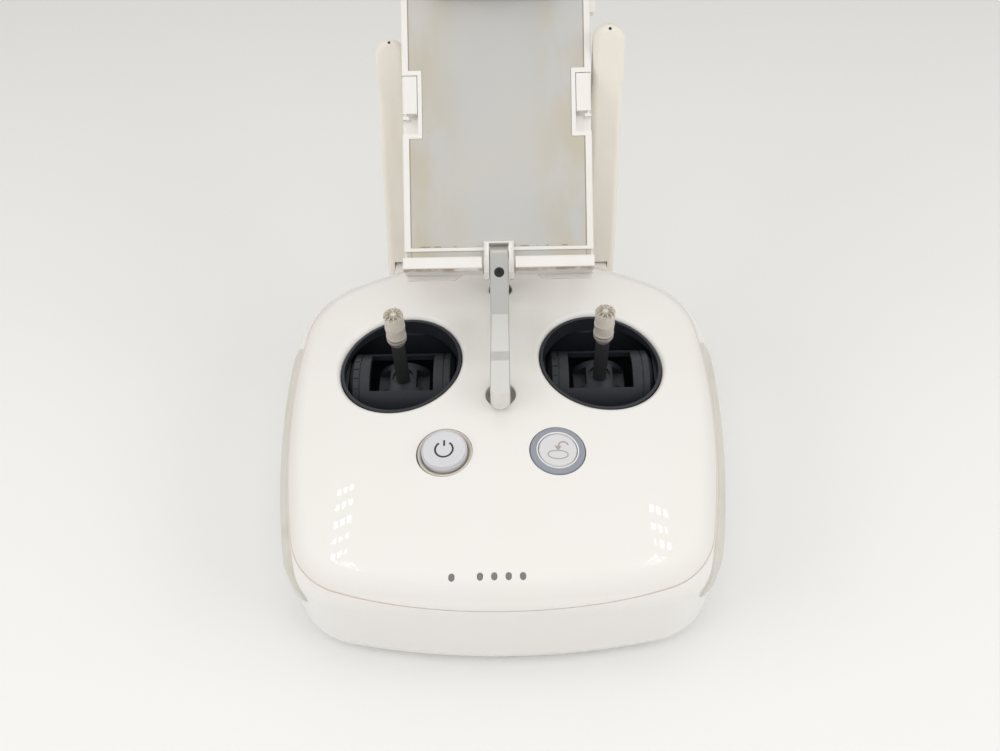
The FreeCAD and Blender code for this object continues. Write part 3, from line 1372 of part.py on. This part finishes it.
PIECES = build_all()
check(PIECES)
export(PIECES)
print(len(PIECES), "sub-parts")
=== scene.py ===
import json
import math

import bmesh
import bpy
from mathutils import Matrix, Vector


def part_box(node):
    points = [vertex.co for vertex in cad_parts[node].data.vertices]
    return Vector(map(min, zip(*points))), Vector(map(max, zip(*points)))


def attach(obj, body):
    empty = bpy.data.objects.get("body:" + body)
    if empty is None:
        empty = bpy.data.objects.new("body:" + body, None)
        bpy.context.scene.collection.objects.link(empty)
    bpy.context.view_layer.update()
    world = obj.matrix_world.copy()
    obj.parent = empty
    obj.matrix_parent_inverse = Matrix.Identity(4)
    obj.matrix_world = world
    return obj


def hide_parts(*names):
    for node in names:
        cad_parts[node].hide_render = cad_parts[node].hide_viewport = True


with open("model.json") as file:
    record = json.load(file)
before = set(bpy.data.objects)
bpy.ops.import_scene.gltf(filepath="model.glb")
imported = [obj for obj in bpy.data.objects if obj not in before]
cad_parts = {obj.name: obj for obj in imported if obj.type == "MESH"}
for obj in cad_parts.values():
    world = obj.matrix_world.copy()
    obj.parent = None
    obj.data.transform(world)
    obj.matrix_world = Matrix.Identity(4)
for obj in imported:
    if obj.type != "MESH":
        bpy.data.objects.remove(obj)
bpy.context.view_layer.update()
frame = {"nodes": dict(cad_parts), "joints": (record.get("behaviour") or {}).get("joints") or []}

MM = 0.001

# ---------------------------------------------------------------- frames ----
# The control panel rises away from the viewer, and the foot of the device holder is above its far part.
PANEL_TILT = math.radians(6)
HOLDER_TILT = math.radians(45)
PANEL = Matrix.Translation((0, -12 * MM, 64 * MM)) @ Matrix.Rotation(PANEL_TILT, 4, "X")
HOLDER_FOOT = PANEL @ Vector((0, 80.7 * MM, 26.4 * MM))
HOLDER = Matrix.Translation(HOLDER_FOOT) @ Matrix.Rotation(HOLDER_TILT, 4, "X")


# ------------------------------------------------------------- materials ----
class Finish:
    """One procedural material, built up from noise, ramps and bumps in the object's own space."""

    def __init__(self, name, colour, roughness, metallic=0.0):
        self.material = bpy.data.materials.new(f"finish_{name}")
        self.material.use_nodes = True
        self.tree = self.material.node_tree
        self.shader = self.tree.nodes["Principled BSDF"]
        self.shader.inputs["Base Color"].default_value = (*colour, 1)
        self.shader.inputs["Roughness"].default_value = roughness
        self.shader.inputs["Metallic"].default_value = metallic
        self.place = self.node("ShaderNodeTexCoord").outputs["Object"]
        self.height = None

    def node(self, kind, **settings):
        node = self.tree.nodes.new(kind)
        for key, value in settings.items():
            setattr(node, key, value)
        return node

    def link(self, source, target):
        self.tree.links.new(source, target)

    def set(self, **constants):
        for key, value in constants.items():
            self.shader.inputs[key.replace("_", " ")].default_value = value

    def mapped(self, matrix=None, stretch=(1, 1, 1)):
        """The point's coordinates in another frame, then stretched."""
        source = self.place
        if matrix is not None:
            inverse = matrix.inverted()
            turn = self.node("ShaderNodeMapping")
            turn.inputs["Rotation"].default_value = inverse.to_euler("XYZ")
            turn.inputs["Location"].default_value = inverse.to_translation()
            self.link(source, turn.inputs["Vector"])
            source = turn.outputs["Vector"]
        if tuple(stretch) != (1, 1, 1):
            scale = self.node("ShaderNodeMapping")
            scale.inputs["Scale"].default_value = stretch
            self.link(source, scale.inputs["Vector"])
            source = scale.outputs["Vector"]
        return source

    def axis(self, source, letter):
        split = self.node("ShaderNodeSeparateXYZ")
        self.link(source, split.inputs["Vector"])
        return split.outputs[letter]

    def math(self, operation, *values):
        node = self.node("ShaderNodeMath", operation=operation)
        for socket, value in zip(node.inputs, values):
            if isinstance(value, (int, float)):
                socket.default_value = value
            else:
                self.link(value, socket)
        return node.outputs["Value"]

    def noise(self, per_mm, detail=4.0, source=None, distortion=0.0, seed=0.0):
        node = self.node("ShaderNodeTexNoise", noise_dimensions="4D")
        node.inputs["Scale"].default_value = per_mm / MM
        node.inputs["Detail"].default_value = detail
        node.inputs["Distortion"].default_value = distortion
        node.inputs["W"].default_value = seed
        self.link(self.place if source is None else source, node.inputs["Vector"])
        return node.outputs["Fac"]

    def cells(self, per_mm, source=None):
        node = self.node("ShaderNodeTexVoronoi")
        node.inputs["Scale"].default_value = per_mm / MM
        self.link(self.place if source is None else source, node.inputs["Vector"])
        return node.outputs["Distance"]

    def remap(self, value, low, high, out_low=0.0, out_high=1.0):
        node = self.node("ShaderNodeMapRange", interpolation_type="SMOOTHSTEP")
        node.inputs["From Min"].default_value = low
        node.inputs["From Max"].default_value = high
        node.inputs["To Min"].default_value = out_low
        node.inputs["To Max"].default_value = out_high
        self.link(value, node.inputs["Value"])
        return node.outputs["Result"]

    def band(self, value, middle, half, soft):
        """1 inside middle ± half, falling to 0 over soft."""
        away = self.math("ABSOLUTE", self.math("SUBTRACT", value, middle))
        return self.remap(away, half, half + soft, 1.0, 0.0)

    def tint(self, colour, amount, strength=1.0):
        """Mixes a colour over what the shader has so far, where amount is 1."""
        target = self.shader.inputs["Base Color"]
        mix = self.node("ShaderNodeMix", data_type="RGBA")
        mix.inputs[7].default_value = (*colour, 1)
        if target.is_linked:
            self.link(target.links[0].from_socket, mix.inputs[6])
        else:
            mix.inputs[6].default_value = target.default_value
        self.link(self.math("MULTIPLY", amount, strength), mix.inputs["Factor"])
        self.link(mix.outputs[2], target)

    def vary_roughness(self, value, low, high):
        """Spreads the roughness from low to high over the middle half of a noise's values."""
        self.link(self.remap(value, 0.25, 0.75, low, high), self.shader.inputs["Roughness"])

    def raise_by(self, value, mm):
        """Adds value × mm to the surface's bump height."""
        part = self.math("MULTIPLY", value, mm * MM)
        self.height = part if self.height is None else self.math("ADD", self.height, part)

    def done(self):
        if self.height is not None:
            bump = self.node("ShaderNodeBump")
            bump.inputs["Strength"].default_value = 1.0
            bump.inputs["Distance"].default_value = 1.0
            self.link(self.height, bump.inputs["Height"])
            self.link(bump.outputs["Normal"], self.shader.inputs["Normal"])
        return self.material


SEAM_LEVEL = -12.2 * MM  # the casing's seam, below the panel's plane
LEDGE_FOOT = -10.3 * MM  # the lower edge of the ledge that a device stands on, along the holder
PAD_EDGE = 35.1 * MM  # just inside the two sides of the holder's pad, across the holder


def white_gloss():
    """Glossy casing: slightly cloudy, warm along the seam, with a painted contact shadow where it meets the
    table.
    """
    look = Finish("white_gloss", (0.862, 0.843, 0.812), 0.3)
    look.set(Coat_Weight=1.0, Coat_Roughness=0.015, Coat_IOR=1.45, Specular_IOR_Level=0.3)
    cloud = look.noise(0.02, 3, seed=1.0)
    look.tint((0.855, 0.82, 0.765), look.remap(cloud, 0.45, 0.75), 0.4)
    depth = look.axis(look.mapped(PANEL), "Z")
    across = look.axis(look.place, "X")
    near_seam = look.band(depth, SEAM_LEVEL, 0.3 * MM, 3.5 * MM)
    more_to_the_left = look.remap(across, -70 * MM, -10 * MM, 1, 0.2)
    look.tint((0.80, 0.60, 0.50), look.math("MULTIPLY", near_seam, more_to_the_left), 0.12)
    look.tint((0.62, 0.47, 0.38), look.band(depth, SEAM_LEVEL, 0.22 * MM, 0.1 * MM), 0.3)
    # Painted contact shadow: a dark brownish band over the casing's lowest millimetre or so, where it meets
    # the table.
    foot = look.band(look.axis(look.place, "Z"), 0.0, 0.9 * MM, 0.7 * MM)
    look.tint((0.30, 0.26, 0.20), foot, 0.6)
    look.raise_by(look.noise(0.02, 1, seed=3.0), 0.02)
    return look.done()


def holder_white():
    """The device holder's duller white, yellowed in clouds, with brown dirt along the ledge's lower edge."""
    look = Finish("holder_white", (0.885, 0.865, 0.83), 0.34)
    look.set(Coat_Weight=0.2, Coat_Roughness=0.15, Specular_IOR_Level=0.5)
    look.tint((0.80, 0.74, 0.63), look.remap(look.noise(0.035, 4, seed=2.0), 0.5, 0.78), 0.45)
    spot = look.mapped(HOLDER)
    low_edge = look.band(look.axis(spot, "Y"), LEDGE_FOOT, 0.3 * MM, 0.25 * MM)
    outer = look.remap(look.axis(spot, "Z"), 4 * MM, 8 * MM)
    patchy = look.remap(look.noise(0.09, 4, seed=3.0), 0.38, 0.55)
    dirt = look.math("MULTIPLY", look.math("MULTIPLY", low_edge, outer), patchy)
    look.tint((0.33, 0.19, 0.09), dirt, 0.75)
    look.vary_roughness(look.noise(0.2, 5, seed=6.0), 0.28, 0.42)
    look.raise_by(look.noise(2.2, 3, seed=1.0), 0.003)
    return look.done()


def aged_beige():
    """The antennas' yellowed plastic, in clouds that run along the blades."""
    look = Finish("aged_beige", (0.875, 0.83, 0.745), 0.42)
    look.set(Coat_Weight=0.12, Coat_Roughness=0.25)
    along = look.mapped(stretch=(1.0, 0.15, 0.15))
    look.tint((0.74, 0.66, 0.52), look.remap(look.noise(0.12, 4, along, seed=3.0), 0.5, 0.75), 0.4)
    look.tint((0.82, 0.79, 0.72), look.remap(look.noise(0.04, 3, seed=8.0), 0.45, 0.7), 0.5)
    look.vary_roughness(look.noise(0.3, 5, seed=7.0), 0.36, 0.5)
    look.raise_by(look.noise(3.0, 3, seed=1.0), 0.004)
    return look.done()


def grip_grey():
    """Rubbery side grips with a pebbled surface."""
    look = Finish("grip_grey", (0.68, 0.66, 0.60), 0.6)
    look.tint((0.52, 0.48, 0.38), look.remap(look.noise(0.05, 4, seed=5.0), 0.5, 0.75), 0.5)
    look.raise_by(look.cells(1.6), 0.012)
    return look.done()


def pad_grey():
    """The holder's soft pad: cloudy grey, yellow stains towards both sides, brown flecks along its edges."""
    look = Finish("pad_grey", (0.59, 0.575, 0.545), 0.5)
    look.set(Specular_IOR_Level=0.35)
    spot = look.mapped(HOLDER)
    look.tint((0.535, 0.545, 0.55), look.remap(look.noise(0.02, 3, spot, seed=2.0), 0.4, 0.7), 0.5)
    across = look.math("ABSOLUTE", look.axis(spot, "X"))
    near_edge = look.remap(across, 8 * MM, 32 * MM)
    lengthwise = look.mapped(HOLDER, (1.0, 0.45, 1.0))
    stain = look.remap(look.noise(0.06, 6, lengthwise, distortion=0.4, seed=9.0), 0.38, 0.60)
    look.tint((0.54, 0.49, 0.36), look.math("MULTIPLY", stain, near_edge), 0.65)
    brown = (0.24, 0.14, 0.07)
    foot = look.band(look.axis(spot, "Y"), 0.3 * MM, 0.15 * MM, 0.2 * MM)
    fleck = look.remap(look.noise(0.35, 5, seed=11.0), 0.52, 0.60)
    look.tint(brown, look.math("MULTIPLY", foot, fleck), 0.6)
    look.tint(brown, look.band(across, PAD_EDGE, 0.12 * MM, 0.25 * MM), 0.4)
    dots = look.remap(look.cells(0.5, spot), 0.05, 0.09, 1.0, 0.0)
    picked = look.remap(look.noise(0.22, 2, spot, seed=12.0), 0.55, 0.62)
    edge_dots = look.math("MULTIPLY", look.math("MULTIPLY", dots, picked), near_edge)
    look.tint((0.20, 0.12, 0.05), edge_dots, 0.6)
    look.vary_roughness(look.noise(0.15, 5, spot, seed=3.0), 0.42, 0.6)
    look.raise_by(look.noise(2.6, 4, spot, seed=4.0), 0.010)
    return look.done()


def plain(name, colour, roughness, metallic=0.0, grain=0.004, worn=0.3):
    """A moulded or machined surface with a fine grain and a little wear."""
    look = Finish(name, colour, roughness, metallic)
    darker = tuple(channel * 0.8 for channel in colour)
    look.tint(darker, look.remap(look.noise(0.25, 5, seed=2.0), 0.5, 0.75), worn)
    if metallic == 0.0:
        look.vary_roughness(look.noise(0.6, 2, seed=3.0), roughness * 0.9, roughness * 1.15)
    look.raise_by(look.noise(2.5, 3, seed=5.0), grain)
    return look.done()


def finishes():
    """Every finish by name: the slots' finishes, and the few that a node or a mark has of its own."""
    made = [
        white_gloss(),
        holder_white(),
        aged_beige(),
        grip_grey(),
        pad_grey(),
        plain("dark_rubber", (0.03, 0.03, 0.032), 0.65, grain=0.02),
        plain("satin_grey_metal", (0.84, 0.835, 0.81), 0.3, 0.8, grain=0.0002, worn=0.06),
        plain("steel", (0.60, 0.60, 0.61), 0.3, 1.0, grain=0.0003),
        plain("black_plastic", (0.024, 0.027, 0.034), 0.45, grain=0.001),
        plain("dark_shaft", (0.045, 0.045, 0.048), 0.32, 0.3, grain=0.0005),
        plain("satin_aluminium", (0.80, 0.755, 0.68), 0.32, 0.8, grain=0.0003, worn=0.15),
        plain("silver_button", (0.74, 0.74, 0.775), 0.28, 0.4, grain=0.0002, worn=0.05),
        plain("beige_trim", (0.70, 0.66, 0.57), 0.35),
        plain("blue_grey_ring", (0.30, 0.32, 0.37), 0.28, 0.1, grain=0.0004, worn=0.1),
        plain("light_pipe", (0.20, 0.20, 0.205), 0.22, grain=0.0005),
        plain("circuit_board", (0.02, 0.11, 0.05), 0.4),
        plain("battery_wrap", (0.05, 0.06, 0.08), 0.4),
        plain("home_face", (0.70, 0.69, 0.70), 0.32, grain=0.0004, worn=0.08),
        plain("bright_ring", (0.86, 0.86, 0.87), 0.2, grain=0.0003, worn=0.05),
        plain("faint_mark", (0.40, 0.36, 0.35), 0.4, grain=0.0003, worn=0.1),
        plain("control_grey", (0.50, 0.49, 0.46), 0.4),
    ]
    return {material.name.removeprefix("finish_"): material for material in made}


FINISHES = finishes()
# Nodes that don't look like their slot's other nodes.
OWN_FINISH = {"home_button": "home_face", "home_bezel": "bright_ring"}
for name, node in frame["nodes"].items():
    for slot in node.material_slots:
        slot.material = FINISHES[OWN_FINISH.get(name, slot.material.name.split(".")[0])]


# ---------------------------------------------------------------- pieces ----
def new_piece(name, body, slot, vertices, faces, smooth=True, finish=None):
    """A mesh piece in the row frame that rides on a body."""
    mesh = bpy.data.meshes.new(name)
    mesh.from_pydata([tuple(point) for point in vertices], [], faces)
    mesh.validate()
    shape = bmesh.new()
    shape.from_mesh(mesh)
    bmesh.ops.recalc_face_normals(shape, faces=shape.faces)
    shape.to_mesh(mesh)
    shape.free()
    if smooth:
        mesh.shade_smooth()
    else:
        mesh.shade_flat()
    piece = bpy.data.objects.new(name, mesh)
    bpy.context.scene.collection.objects.link(piece)
    mesh.materials.append(FINISHES[finish or slot])
    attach(piece, body)
    return piece


def joint_entry(name):
    return next(entry for entry in frame["joints"] if entry["name"] == name)


def box_middle(node):
    low, high = (Vector(corner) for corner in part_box(node))
    return (low + high) / 2


def wave(turns):
    """Triangle wave from 0 to 1 and back over each whole turn."""
    part = turns % 1.0
    return 1.0 - abs(2.0 * part - 1.0)


def spun(rows, sides, ring=False):
    """
    Vertices and faces of a turned shape about z. A row is (radius, height) in mm, or (radius, height, cut),
    where cut gives the row's radius and height at each share of a turn. The shape is a ring, or it is capped.
    """
    vertices, faces = [], []
    for radius, height, *cut in rows:
        for side in range(sides):
            share = side / sides
            r, z = cut[0](radius, height, share) if cut else (radius, height)
            turn = share * math.tau
            vertices.append(Vector((r * math.cos(turn), r * math.sin(turn), z)) * MM)
    for row in range(len(rows) if ring else len(rows) - 1):
        low, high = row * sides, (row + 1) % len(rows) * sides
        for side in range(sides):
            after = (side + 1) % sides
            faces.append((low + side, low + after, high + after, high + side))
    if not ring:
        faces.append(tuple(range(sides)))
        faces.append(tuple(range((len(rows) - 1) * sides, len(rows) * sides)))
    return vertices, faces


# The stick tips, in mm where it is a length.
TIP_SIDES = 144
TIP_KNURLS = 24
KNURL_PITCH = 0.22
KNURL_LEAD = 1.5
KNURL_DEPTH = 0.26
KNURL_MIDDLE = 0.35
TIP_FINS = 11
FIN_STEEPNESS = 3.2
FIN_EDGE = 0.42
FIN_DEPTH = 1.25
FIN_FOOT = 5.3
FIN_RUN_OUT = 0.6
SHARP_TIP = math.radians(32)
SHARP_BUTTON = math.radians(50)


def knurled(radius, height, share):
    """Crossing ridges that lean both ways round the tip."""
    lean = height / KNURL_LEAD
    ridge = min(wave(share * TIP_KNURLS + lean), wave(share * TIP_KNURLS - lean))
    return radius + KNURL_DEPTH * (ridge - KNURL_MIDDLE), height


def finned(radius, height, share):
    """The crown of fins at the end of the tip: its height drops between them."""
    ridge = min(1.0, max(0.0, FIN_STEEPNESS * (wave(share * TIP_FINS) - FIN_EDGE)))
    return radius, height - FIN_DEPTH * (1.0 - ridge) * min(1.0, (height - FIN_FOOT) / FIN_RUN_OUT)


def tip_rows():
    """Profile of a stick tip from its foot to the dome between its fins, in mm from its middle."""
    rows = [(1.62, -6.7), (3.5, -6.7), (3.85, -6.4), (3.95, -6.0), (3.95, -5.5), (3.75, -5.3)]
    rows += [(3.72, -5.15 + KNURL_PITCH * step, knurled) for step in range(18)]
    rows += [(3.74, -1.15), (3.96, -1.0), (3.96, -0.2), (3.74, -0.05)]
    rows += [(3.72, 0.1 + KNURL_PITCH * step, knurled) for step in range(22)]
    rows += [(3.74, 5.0), (3.85, 5.1), (3.85, 5.4)]
    crown = [(3.8, 5.6), (3.55, 6.35), (3.25, 6.6), (2.7, 6.62), (2.1, 6.5), (1.75, 6.2)]
    rows += [(radius, height, finned) for radius, height in crown]
    rows += [(1.6, 5.7), (1.5, 5.6), (1.4, 5.9), (1.1, 6.25), (0.7, 6.42), (0.25, 6.48)]
    return rows


def add_tips():
    """Knurled and finned tips in place of the CAD's plain ones."""
    vertices, faces = spun(tip_rows(), TIP_SIDES)
    for side in ("left", "right"):
        node = f"{side}_stick_tip"
        place = Matrix.Translation(box_middle(node)) @ Matrix.Rotation(PANEL_TILT, 4, "X")
        placed = [place @ vertex for vertex in vertices]
        tip = new_piece(f"{side}_tip_knurled", f"{side}_tip", "satin_aluminium", placed, faces)
        tip.data.set_sharp_from_angle(angle=SHARP_TIP)
        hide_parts(node)


RIM_DEPTH = 0.05 * MM  # points this close to a face's highest ones are its rim


def face_frame(node, joint):
    """Frame on the rim of a button's face: z out of the face, y up the panel."""
    out = -Vector(joint_entry(joint)["axis"]).normalized()
    points = [vertex.co for vertex in frame["nodes"][node].data.vertices]
    top = max(point.dot(out) for point in points)
    rim = {tuple(round(c, 7) for c in point) for point in points if point.dot(out) > top - RIM_DEPTH}
    middle = sum((Vector(point) for point in rim), Vector()) / len(rim)
    across = Vector((1, 0, 0))
    across = (across - across.dot(out) * out).normalized()
    turn = Matrix((across, out.cross(across), out)).transposed().to_4x4()
    return Matrix.Translation(middle) @ turn


def stroke(line, width, closed=False):
    """Quads that make a flat band of the given width along a line of (x, y) points."""
    pairs = []
    count = len(line)
    for index, (x, y) in enumerate(line):
        before = line[index - 1] if index or closed else line[index]
        after = line[(index + 1) % count] if index < count - 1 or closed else line[index]
        along = Vector((after[0] - before[0], after[1] - before[1])).normalized() * width / 2
        pairs.append(((x - along.y, y + along.x), (x + along.y, y - along.x)))
    following = pairs[1:] + pairs[:1] if closed else pairs[1:]
    return [(a[0], a[1], b[1], b[0]) for a, b in zip(pairs, following)]


INK = 0.04  # mm above and below the surface


def printed(name, body, slot, place, patches, level, finish=None):
    """A thin printed mark: each patch is a ring of (x, y) points in mm, laid on the surface level(radius)."""
    vertices, faces = [], []
    for patch in patches:
        start = len(vertices)
        count = len(patch)
        for lift in (-INK, INK):
            for x, y in patch:
                vertices.append(place @ (Vector((x, y, level(math.hypot(x, y)) + lift)) * MM))
        faces.append(tuple(range(start + count - 1, start - 1, -1)))
        faces.append(tuple(range(start + count, start + 2 * count)))
        for index in range(count):
            after = (index + 1) % count
            faces.append((start + index, start + after, start + count + after, start + count + index))
    return new_piece(name, body, slot, vertices, faces, smooth=False, finish=finish)


def arc_line(radius, first, last, steps, middle=(0, 0), squeeze=1.0):
    """Points along an arc, angles in degrees, squeezed in y."""
    points = []
    for step in range(steps + 1):
        angle = math.radians(first + (last - first) * step / steps)
        points.append((middle[0] + radius * math.cos(angle), middle[1] + radius * math.sin(angle) * squeeze))
    return points


FACE_RADIUS = 6.2  # mm, of the power and home buttons' dished faces


def dished(middle, rise):
    """Level of a button's dished face by radius: middle at its centre, rise higher at its rim."""
    return lambda radius: middle + rise * radius / FACE_RADIUS


POWER_SIDES = 128
POWER_RIM = 2.35 * MM  # the rim of the power button's face, above the panel


def add_power_button():
    """The power button's cap with its rounded rim, the sloping surround it stands in and its mark."""
    place = face_frame("power_button", "power_button_press")
    panel = place @ Matrix.Translation((0, 0, -POWER_RIM))
    rows = [(4.0, -7.9), (4.0, -1.0), (8.55, -1.0), (8.6, 0.9), (8.55, 1.35), (8.4, 1.75), (8.15, 2.05)]
    rows += [(7.8, 2.26), (7.4, 2.34), (7.0, 2.33), (6.6, 2.24), (6.2, 2.15)]
    rows += [(4.0, 2.06), (2.0, 1.98), (0.3, 1.91)]
    vertices, faces = spun(rows, POWER_SIDES)
    cap = new_piece("power_cap", "power_button", "silver_button", [panel @ v for v in vertices], faces)
    cap.data.set_sharp_from_angle(angle=SHARP_BUTTON)
    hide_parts("power_button")
    rows = [(7.2, -5.9), (10.2, -5.9), (10.2, -0.25), (10.1, -0.1), (9.95, -0.08), (9.75, -0.16)]
    rows += [(9.3, -0.55), (9.0, -0.95), (8.85, -1.4), (8.85, -2.1), (7.2, -2.1)]
    vertices, faces = spun(rows, POWER_SIDES, ring=True)
    surround = new_piece("power_surround", "root", "beige_trim", [panel @ v for v in vertices], faces)
    surround.data.set_sharp_from_angle(angle=SHARP_BUTTON)
    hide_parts("power_bezel")
    line = 0.72
    patches = stroke(arc_line(3.3, 126, 414, 48), line) + stroke([(0, 1.5), (0, 2.6), (0, 3.9)], line)
    printed("power_mark", "power_button", "dark_shaft", place, patches, dished(-0.44, 0.24))


def add_home_mark():
    """The home button's mark: a curved arrow that comes down on an ellipse."""
    place = face_frame("home_button", "home_button_press")
    patches = stroke(arc_line(3.7, 0, 352.5, 47, (0, -2.0), 0.5), 0.42, closed=True)
    sweep = [(3.9, 2.2), (3.5, 2.9), (2.9, 3.4), (2.2, 3.6), (1.5, 3.5), (0.9, 3.2), (0.5, 2.6), (0.3, 1.9)]
    patches += stroke(sweep, 0.6)
    patches.append([(-1.2, 1.9), (1.5, 1.75), (0.1, -0.2)])
    printed("home_mark", "home_button", "white_button", place, patches, dished(-0.4, 0.4), "faint_mark")


DOT_FROM_END = 1.1 * MM
DOT_SEARCH = 12 * MM  # how far above the blade the search for its surface starts


def add_antenna_dots():
    """A small dark hole plug near the end of each antenna, on the side that faces up."""
    vertices, faces = spun([(0.62, -0.4), (0.62, 0.02), (0.5, 0.05), (0.2, 0.03)], 24)
    for side in ("left", "right"):
        node = f"{side}_antenna"
        antenna = frame["nodes"][node]
        pivot = Vector(joint_entry(f"{side}_antenna_fold")["pos_m"])
        end = max((vertex.co for vertex in antenna.data.vertices), key=lambda point: (point - pivot).length)
        along = Vector((0, end.y - pivot.y, end.z - pivot.z)).normalized()
        up = Vector((1, 0, 0)).cross(along)
        start = pivot + along * ((end - pivot).dot(along) - DOT_FROM_END) + up * DOT_SEARCH
        _, spot, normal, _ = antenna.ray_cast(start, -up)
        place = Matrix.Translation(spot) @ normal.to_track_quat("Z", "Y").to_matrix().to_4x4()
        new_piece(f"{side}_antenna_dot", node, "dark_shaft", [place @ v for v in vertices], faces)


add_tips()
add_antenna_dots()
add_power_button()
add_home_mark()


# ----------------------------------------------------------------- stage ----
FLOOR_REACH = 4.0
FLOOR_DROP = 0.2 * MM


def add_floor():
    shape = bmesh.new()
    corners = [(-1, -1), (1, -1), (1, 1), (-1, 1)]
    shape.faces.new([shape.verts.new((x * FLOOR_REACH, y * FLOOR_REACH, -FLOOR_DROP)) for x, y in corners])
    mesh = bpy.data.meshes.new("floor")
    shape.to_mesh(mesh)
    shape.free()
    floor = bpy.data.objects.new("floor", mesh)
    bpy.context.scene.collection.objects.link(floor)
    look = Finish("floor_paper", (0.88, 0.878, 0.868), 0.7)
    look.tint((0.865, 0.86, 0.85), look.noise(0.01, 3, seed=1.0), 0.5)
    look.raise_by(look.noise(1.0, 3, seed=2.0), 0.01)
    mesh.materials.append(look.done())


# Name, place, the point it shines at, width and height in m, and watts.
LIGHTS = (
    ("left_light", (-0.85, -0.3, 0.62), (0, 0.05, 0.06), (0.8, 0.5), 3.4),
    ("right_light", (0.85, -0.3, 0.62), (0, 0.05, 0.06), (0.8, 0.5), 3.6),
    ("over_light", (0.0, -0.5, 0.85), (0, 0.08, 0.06), (0.7, 0.5), 1.6),
    ("front_light", (0.0, -0.95, 0.5), (0, 0.06, 0.06), (0.9, 0.4), 0.55),
)


def add_lights():
    """Soft lights that the glossy casing doesn't mirror."""
    for name, place, aim, size, watts in LIGHTS:
        light = bpy.data.lights.new(name, "AREA")
        light.shape = "RECTANGLE"
        light.size, light.size_y = size
        light.energy = watts
        lamp = bpy.data.objects.new(name, light)
        lamp.location = place
        lamp.rotation_euler = (Vector(aim) - Vector(place)).to_track_quat("-Z", "Y").to_euler()
        lamp.visible_camera = False
        lamp.visible_glossy = False
        bpy.context.scene.collection.objects.link(lamp)


# The room is brightest overhead and beyond the object, and dims towards the viewer's side and the ground.
ROOM_COLOUR = (1.0, 0.985, 0.96, 1)
ROOM_LIGHT = {"From Min": 0.3, "From Max": 1.05, "To Min": 0.30, "To Max": 0.82}
ROOM_LEAN = 0.5


def add_room():
    world = bpy.data.worlds.new("studio")
    bpy.context.scene.world = world
    world.use_nodes = True
    tree = world.node_tree
    background = tree.nodes["Background"]
    background.inputs["Color"].default_value = ROOM_COLOUR
    split = tree.nodes.new("ShaderNodeSeparateXYZ")
    tree.links.new(tree.nodes.new("ShaderNodeTexCoord").outputs["Generated"], split.inputs["Vector"])
    height = tree.nodes.new("ShaderNodeMath")
    height.operation = "MULTIPLY_ADD"
    tree.links.new(split.outputs["Y"], height.inputs[0])
    height.inputs[1].default_value = ROOM_LEAN
    tree.links.new(split.outputs["Z"], height.inputs[2])
    strength = tree.nodes.new("ShaderNodeMapRange")
    strength.interpolation_type = "SMOOTHSTEP"
    for socket, value in ROOM_LIGHT.items():
        strength.inputs[socket].default_value = value
    tree.links.new(height.outputs["Value"], strength.inputs["Value"])
    tree.links.new(strength.outputs["Result"], background.inputs["Strength"])


# The lamp strips above the table, in m.
LED_LEVEL = 1.2
LED_PITCH = 0.05
LED_GAP = 0.034
LED_HALF = 0.010
LED_GLOW = 7.0
LED_CORNERS = ((-1, -1), (-1, 1), (1, 1), (1, -1))
# Name, x of the middle lamp, y of the far row and number of rows.
LED_STRIPS = (("left_led_strip", -0.71, 0.51, 16), ("right_led_strip", 0.65, 0.42, 14))


def led_glow():
    look = bpy.data.materials.new("led_glow")
    look.use_nodes = True
    shader = look.node_tree.nodes["Principled BSDF"]
    shader.inputs["Emission Color"].default_value = (1, 1, 0.98, 1)
    shader.inputs["Emission Strength"].default_value = LED_GLOW
    return look


def add_led_strips():
    """Strips of small lamps in rows of three that run towards the viewer and show only as reflections."""
    look = led_glow()
    for name, middle, far_end, count in LED_STRIPS:
        vertices, faces = [], []
        for row in range(count):
            y = far_end - row * LED_PITCH
            for lamp in (-1, 0, 1):
                x = middle + lamp * LED_GAP
                start = len(vertices)
                vertices += [(x + a * LED_HALF, y + b * LED_HALF, LED_LEVEL) for a, b in LED_CORNERS]
                faces.append(tuple(range(start, start + 4)))
        mesh = bpy.data.meshes.new(name)
        mesh.from_pydata(vertices, [], faces)
        mesh.materials.append(look)
        strip = bpy.data.objects.new(name, mesh)
        strip.visible_camera = False
        strip.visible_shadow = False
        strip.visible_diffuse = False
        bpy.context.scene.collection.objects.link(strip)


CAMERA_PLACE = Vector((5.48, -234.96, 326.32)) * MM
CAMERA_TURNS = ((-1.801, "Z"), (44.975, "X"), (1.267, "Z"))  # roll, pitch and turn, in degrees


def add_camera():
    lens = bpy.data.cameras.new("camera")
    lens.sensor_width = 36
    lens.lens = 33.48
    lens.clip_start = 0.01
    camera = bpy.data.objects.new("camera", lens)
    roll, pitch, turn = (Matrix.Rotation(math.radians(angle), 4, axis) for angle, axis in CAMERA_TURNS)
    camera.matrix_world = Matrix.Translation(CAMERA_PLACE) @ turn @ pitch @ roll
    bpy.context.scene.collection.objects.link(camera)
    bpy.context.scene.camera = camera


add_floor()
add_room()
add_lights()
add_led_strips()
add_camera()
bpy.context.scene.view_settings.view_transform = "Standard"
